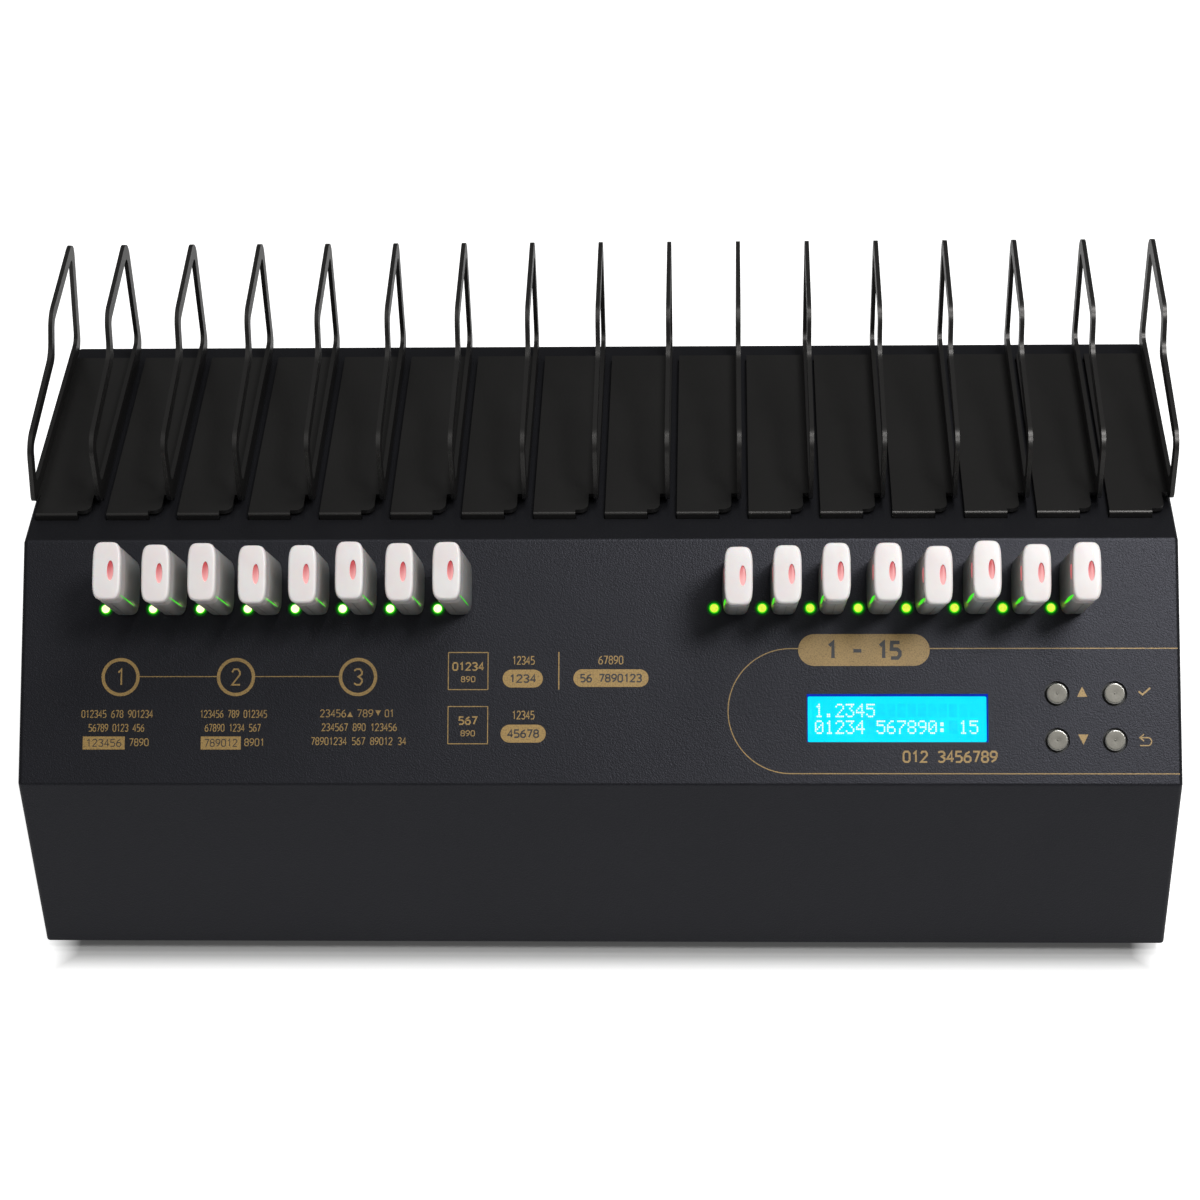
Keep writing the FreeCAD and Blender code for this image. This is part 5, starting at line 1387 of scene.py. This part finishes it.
@dataclass
class PanelPrint:
    """The gold print: flat ink a few hundredths of a millimetre thick."""

    base: float = 0.005
    skin: float = 0.035
    over: float = 0.06
    line: float = 0.34
    fine: float = 0.3
    circles: Sequence[float] = (-164.9, -124.75, -82.4)
    circle_drop: float = 47.7
    circle_radius: float = 6.65
    circle_stroke: float = 1.15
    rows: Sequence[Row] = (
        (-165.8, 60.5, 24.9, "012345 678 901234"), (-166.0, 65.3, 19.4, "56789 0123 456"),
        (-158.1, 70.3, 6.8, "7890"), (-125.4, 60.5, 23.3, "123456 789 012345"),
        (-125.6, 65.3, 19.4, "67890 1234 567"), (-118.0, 70.3, 7.0, "8901"), (-90.9, 60.3, 9.0, "23456"),
        (-79.8, 60.3, 5.6, "789"), (-71.4, 60.3, 3.2, "01"), (-81.8, 65.1, 26.0, "234567 890 123456"),
        (-82.0, 69.9, 33.0, "78901234 567 89012 34"),
    )
    row_height: float = 2.7
    labels: Sequence[tuple[float, float, str]] = ((-177.6, -163.0, "123456"), (-136.6, -122.7, "789012"))
    label_sides: Point = (68.3, 72.8)
    keys: Sequence[tuple[float, str]] = ((39.1, "01234"), (57.8, "567"))
    key_sides: Point = (-51.3, -37.3)
    key_height: float = 13.15
    rule: Corners = (-13.2, 39.1, -12.8, 52.2)
    plate: Corners = (69.3, 33.0, 114.4, 44.0)
    small_arrows: Sequence[Arrow] = ((-85.0, 60.6, 1.9, Side.UP), (-75.3, 60.2, 1.9, Side.DOWN))
    large_arrows: Sequence[Arrow] = ((166.2, 52.9, 3.5, Side.UP), (166.4, 69.3, 3.5, Side.DOWN))
    tick: Sequence[Point] = ((185.4, 52.8), (186.7, 53.9), (189.4, 51.6))
    barb: Sequence[Point] = ((187.0, 67.5), (185.6, 68.65), (187.0, 69.8))
    captions: Sequence[Row] = (
        (-25.2, 42.0, 7.8, "12345"), (4.9, 41.9, 8.6, "67890"), (-25.2, 60.9, 7.8, "12345"),
    )
    pills: Sequence[tuple[float, float, float, float, str]] = (
        (-32.4, -18.5, 45.2, 51.4, "1234"), (-8.0, 17.9, 45.1, 51.2, "56 7890123"),
        (-33.0, -17.4, 64.2, 70.4, "45678"),
    )

    def dress(self) -> bpy.types.Object:
        """Builds all the print as one piece.

        Returns:
            The print.
        """
        self.form = Form()
        self.numbered_circles()
        self.step_rows()
        self.lamp_key()
        self.display_outline()
        self.button_signs()
        return self.form.finish("panel_print", [GOLD_INK.make(), DARK_INK.make()], "case", PANEL.matrix())

    def bar(self, x0: float, v0: float, x1: float, v1: float, radius: float = 0.02) -> None:
        """Adds a filled bar between two corners given by X and drop.

        Args:
            x0: X of its left side.
            v0: Drop of one side.
            x1: X of its right side.
            v1: Drop of the other side.
            radius: Corner radius.
        """
        at = ((x0 + x1) / 2, PANEL.up((v0 + v1) / 2))
        outline = rounded(x1 - x0, abs(v1 - v0), radius, 8 if radius > 1 else 1, at)
        self.form.prism(outline, self.base, self.skin)

    def stroke(self, points: Sequence[Point], width: float, ink: InkPart = InkPart.GOLD) -> None:
        """Adds a line through points given by X and drop; dark ink lies over the gold."""
        heights = (self.base, self.skin) if ink is InkPart.GOLD else (self.skin, self.over)
        self.form.ribbon([(x, PANEL.up(v)) for x, v in points], width, *heights, ink)

    def box_line(self, x0: float, v0: float, x1: float, v1: float) -> None:
        """Adds a rectangle drawn with a thin line.

        Args:
            x0: X of its left side.
            v0: Drop of its upper side.
            x1: X of its right side.
            v1: Drop of its lower side.
        """
        middle = ((x0 + x1) / 2, PANEL.up((v0 + v1) / 2))
        outer = rounded(x1 - x0, v1 - v0, 0.2, 2, middle)
        inner = rounded(x1 - x0 - 2 * self.fine, v1 - v0 - 2 * self.fine, 0.05, 2, middle)
        self.form.frame_of(outer, inner, self.base, self.skin)

    def figures(self, text: str, middle: float, drop: float, width: float, height: float, weight: float = 0.3,
                ink: InkPart = InkPart.GOLD) -> None:
        """Writes a row of plain figures.

        Args:
            text: Figures and spaces.
            middle: X of the row's middle.
            drop: Drop of the row's middle.
            width: Width of the whole row.
            height: Height of a figure.
            weight: Width of a stroke.
            ink: The ink.
        """
        step = (width - weight) / (len(text) - 0.3)
        across, down = step * 0.7 / 4, (height - weight) / 6
        for place, mark in enumerate(text):
            if mark == " ":
                continue
            x = middle - (width - weight) / 2 + place * step
            points = [(x + a * across, drop + (b - 3) * down) for a, b in STROKES[mark]]
            self.stroke(points, weight, ink)

    def numbered_circles(self) -> None:
        """The three rings, the lines that join them and their numbers."""
        radius = self.circle_radius
        for number, x in enumerate(self.circles, 1):
            at = (x, PANEL.up(self.circle_drop))
            outer = round_outline(radius, 72, at)
            inner = round_outline(radius - self.circle_stroke, 72, at)
            self.form.frame_of(outer, inner, self.base, self.skin)
            self.figures(str(number), x, self.circle_drop, 3.3, 6.0, 0.6)
        for left, right in zip(self.circles, self.circles[1:]):
            self.bar(left + radius, self.circle_drop - 0.15 - self.fine / 2, right - radius,
                     self.circle_drop - 0.15 + self.fine / 2)

    def step_rows(self) -> None:
        """The rows of figures and the two filled labels under the circles."""
        for middle, drop, width, text in self.rows:
            self.figures(text, middle, drop, width, self.row_height)
        for arrow in self.small_arrows:
            self.triangle(*arrow)
        for left, right, text in self.labels:
            self.bar(left, self.label_sides[0], right, self.label_sides[1])
            self.figures(text, (left + right) / 2, 70.5, right - left - 2.4, self.row_height, ink=InkPart.DARK)

    def lamp_key(self) -> None:
        """The two boxes, three pills and the rule that explain the lamps."""
        left, right = self.key_sides
        for drop, text in self.keys:
            self.box_line(left, drop, right, drop + self.key_height)
            self.figures(text, (left + right) / 2, drop + 5.0, 2.2 * len(text), 3.0, 0.5)
            self.figures("890", (left + right) / 2, drop + 9.4, 5.0, 2.1)
        for x0, x1, v0, v1, text in self.pills:
            self.bar(x0, v0, x1, v1, (v1 - v0) / 2)
            self.figures(text, (x0 + x1) / 2, (v0 + v1) / 2, x1 - x0 - 4.6, 3.0, 0.5, InkPart.DARK)
        for middle, drop, width, text in self.captions:
            self.figures(text, middle, drop, width, 3.0, 0.34)
        self.bar(*self.rule)

    def display_outline(self) -> None:
        """The line round the display, its nameplate with a plain ratio, and the row of figures below."""
        edge, top, bottom, left = 198.9, 38.0, 81.0, 45.2
        radius = (bottom - top) / 2
        middle = (left + radius, top + radius)
        bulge = [(middle[0] - radius * math.cos(a), middle[1] - radius * math.sin(a)) for a in fan(90, -90, 48)]
        self.stroke([(69.6, top)] + bulge + [(edge, bottom)], self.line)
        self.stroke([(114.0, top), (edge, top)], self.line)
        self.bar(*self.plate, 5.5)
        self.figures("1 - 15", 91.8, 38.6, 26.0, 6.6, 1.25, InkPart.DARK)
        self.figures("012 3456789", 121.0, 75.2, 32.4, 4.2, 0.66)

    def triangle(self, x: float, drop: float, size: float, side: Side) -> None:
        """Adds a filled triangle.

        Args:
            x: X of its middle.
            drop: Drop of its middle.
            size: Its width and height.
            side: Which way it points.
        """
        half = size / 2 * side.value
        corners = ((x - size / 2, drop + half), (x + size / 2, drop + half), (x, drop - half))
        self.form.prism([(a, PANEL.up(b)) for a, b in corners], self.base, self.skin)

    def button_signs(self) -> None:
        """The signs beside the buttons: up, down, a tick and a return arrow."""
        for arrow in self.large_arrows:
            self.triangle(*arrow)
        self.stroke(self.tick, 0.6)
        hook = [(188.3 + 1.25 * math.cos(a), 70.0 - 1.35 * math.sin(a)) for a in fan(90, -90, 10)]
        self.stroke([(185.7, 68.65)] + hook + [(185.6, 71.35)], 0.42)
        self.stroke(self.barb, 0.42)


@dataclass
class RearFittings:
    """Metal contacts in the inlet and the marks on the rocker."""

    rear: float = 87.25
    inlet: Point = (-150.0, 40.0)
    rocker: Point = (-104.0, 40.0)
    contact: Point = (2.2, 4.2)
    contact_pitch: float = 7.0
    contact_ends: Place = (18.9, 7.2, 6.6)
    earth_drop: float = 2.0
    rocker_tilt: float = 9.0
    mark_place: float = 4.4
    mark_skin: float = 0.04
    mark_lift: float = 0.03
    bar_mark: Point = (0.7, 3.4)
    ring_mark: Point = (1.7, 1.05)
    rocker_bulge: float = 1.8

    def dress(self) -> int:
        """Builds the contacts and the marks.

        Returns:
            How many pieces were made.
        """
        shift = Matrix.Scale(MM, 4) @ Matrix.Translation((0, self.rear, 0))
        contacts = Form()
        narrow = (self.contact[0] - 0.7, self.contact[1] - 0.7)
        for step in (-1, 0, 1):
            drop = self.earth_drop if step == 0 else 0.0
            at = (self.inlet[0] + self.contact_pitch * step, self.inlet[1] - drop)
            wide, tip = rounded(*self.contact, 0.3, 3, at), rounded(*narrow, 0.3, 3, at)
            contacts.loft(list(zip((wide, wide, tip), self.contact_ends)), [0, 0, 0])
        upright = shift @ Matrix.Rotation(math.radians(90), 4, "X")
        contacts.finish("inlet_contacts", [PLATED_STEEL.make()], "case", upright)
        tilt = math.radians(self.rocker_tilt)
        marks = Form()
        marks.prism(rounded(*self.bar_mark, 0.1, 2, (0, self.mark_place)), -self.mark_skin, self.mark_skin)
        outer, inner = (round_outline(radius, 32, (0, -self.mark_place)) for radius in self.ring_mark)
        marks.frame_of(outer, inner, -self.mark_skin, self.mark_skin)
        for vert in marks.bm.verts:
            slope = self.rocker_bulge + abs(vert.co.y) * math.tan(tilt)
            vert.co = (vert.co.x, slope + vert.co.z + self.mark_lift, vert.co.y)
        turn = Matrix.Translation((self.rocker[0], 0, self.rocker[1])) @ Matrix.Rotation(tilt, 4, "X")
        marks.finish("rocker_marks", [MARK_WHITE.make()], "rocker_body", shift @ turn)
        return 2


# Studio

@dataclass(frozen=True)
class Lamp:
    """A soft rectangular lamp: its place, aim and size in metres, and its power in watts."""

    name: str
    at: Place
    aim: Place
    size: Point
    watts: float

    def build(self) -> None:
        """Hangs the lamp and turns it to its aim."""
        data = bpy.data.lights.new(self.name, "AREA")
        data.shape = "RECTANGLE"
        data.size, data.size_y = self.size
        data.energy = self.watts
        lamp = bpy.data.objects.new(self.name, data)
        bpy.context.scene.collection.objects.link(lamp)
        lamp.location = self.at
        lamp.rotation_euler = (Vector(self.aim) - Vector(self.at)).to_track_quat("-Z", "Y").to_euler()


@dataclass
class Studio:
    """Camera, lamps, world and floor."""

    eye_mm: Place = (41.83, -892.09, 793.99)
    yaw: float = -2.759
    pitch: float = 38.293
    roll: float = 1.796
    lens: float = 93.67
    sensor: float = 36.0
    lamps: Sequence[Lamp] = (
        Lamp("lamp_top", (0.5, -0.05, 1.8), (0.0, 0.0, 0.1), (0.6, 0.5), 12.0),
        Lamp("lamp_front", (0.62, -0.88, 1.52), (0.0, -0.06, 0.1), (0.42, 0.34), 12.5),
    )
    bright_way: Place = (0.0, -0.25, 1.0)
    climb: Point = (0.1, 1.0)
    world_light: Point = (0.04, 0.32)
    floor_reach: float = 9.0

    def camera(self) -> None:
        """Sets the camera at the photograph's place."""
        yaw, pitch, roll = (math.radians(a) for a in (self.yaw, self.pitch, self.roll))
        ahead = Vector((math.sin(yaw) * math.cos(pitch), math.cos(yaw) * math.cos(pitch), -math.sin(pitch)))
        right = Vector((math.cos(yaw), -math.sin(yaw), 0.0))
        down = ahead.cross(right)
        across = math.cos(roll) * right + math.sin(roll) * down
        below = -math.sin(roll) * right + math.cos(roll) * down
        data = bpy.data.cameras.new("photo_camera")
        data.lens = self.lens
        data.sensor_width = self.sensor
        data.clip_end = 50.0
        camera = bpy.data.objects.new("photo_camera", data)
        bpy.context.scene.collection.objects.link(camera)
        turn = Matrix((across, -below, -ahead)).transposed().to_4x4()
        camera.matrix_world = Matrix.Translation(Vector(self.eye_mm) * MM) @ turn
        bpy.context.scene.camera = camera

    def world(self) -> None:
        """Sets a world that is dim at the horizon and white to the camera."""
        world = bpy.data.worlds.new("studio_world")
        world.use_nodes = True
        nodes = Nodes(world.node_tree)
        aim = nodes.vector("DOT_PRODUCT", nodes.node("TexCoord").outputs["Generated"], self.bright_way)
        climb = nodes.spread(aim.outputs["Value"], self.world_light, self.climb)
        seen = nodes.math("MAXIMUM", climb, nodes.node("LightPath").outputs["Is Camera Ray"])
        background = nodes.tree.nodes["Background"]
        background.inputs["Color"].default_value = (1.0, 1.0, 1.0, 1.0)
        nodes.tree.links.new(seen, background.inputs["Strength"])
        bpy.context.scene.world = world

    def floor(self) -> None:
        """Lays the floor."""
        mesh = bpy.data.meshes.new("studio_floor")
        reach = self.floor_reach
        corners = [(-reach, -reach, 0), (reach, -reach, 0), (reach, reach, 0), (-reach, reach, 0)]
        mesh.from_pydata(corners, [], [(0, 1, 2, 3)])
        mesh.materials.append(StudioFloor().make())
        floor = bpy.data.objects.new("studio_floor", mesh)
        bpy.context.scene.collection.objects.link(floor)

    def build(self) -> None:
        """Sets up the whole studio."""
        bpy.context.scene.view_settings.view_transform = "Standard"
        self.camera()
        for lamp in self.lamps:
            lamp.build()
        self.world()
        self.floor()


def main() -> None:
    """Builds the studio and dresses each sub-assembly in turn."""
    Studio().build()
    for part in (CaseShell(), RackRow(), Feet(), DriveRow(), LampRow(), PushButtons(), Display(), PanelPrint(),
                 RearFittings()):
        made = part.dress()
        LOG.info("%s dressed: %s", type(part).__name__, made)


if __name__ == "__main__":
    logging.basicConfig(level=logging.INFO, format="%(message)s")
    main()
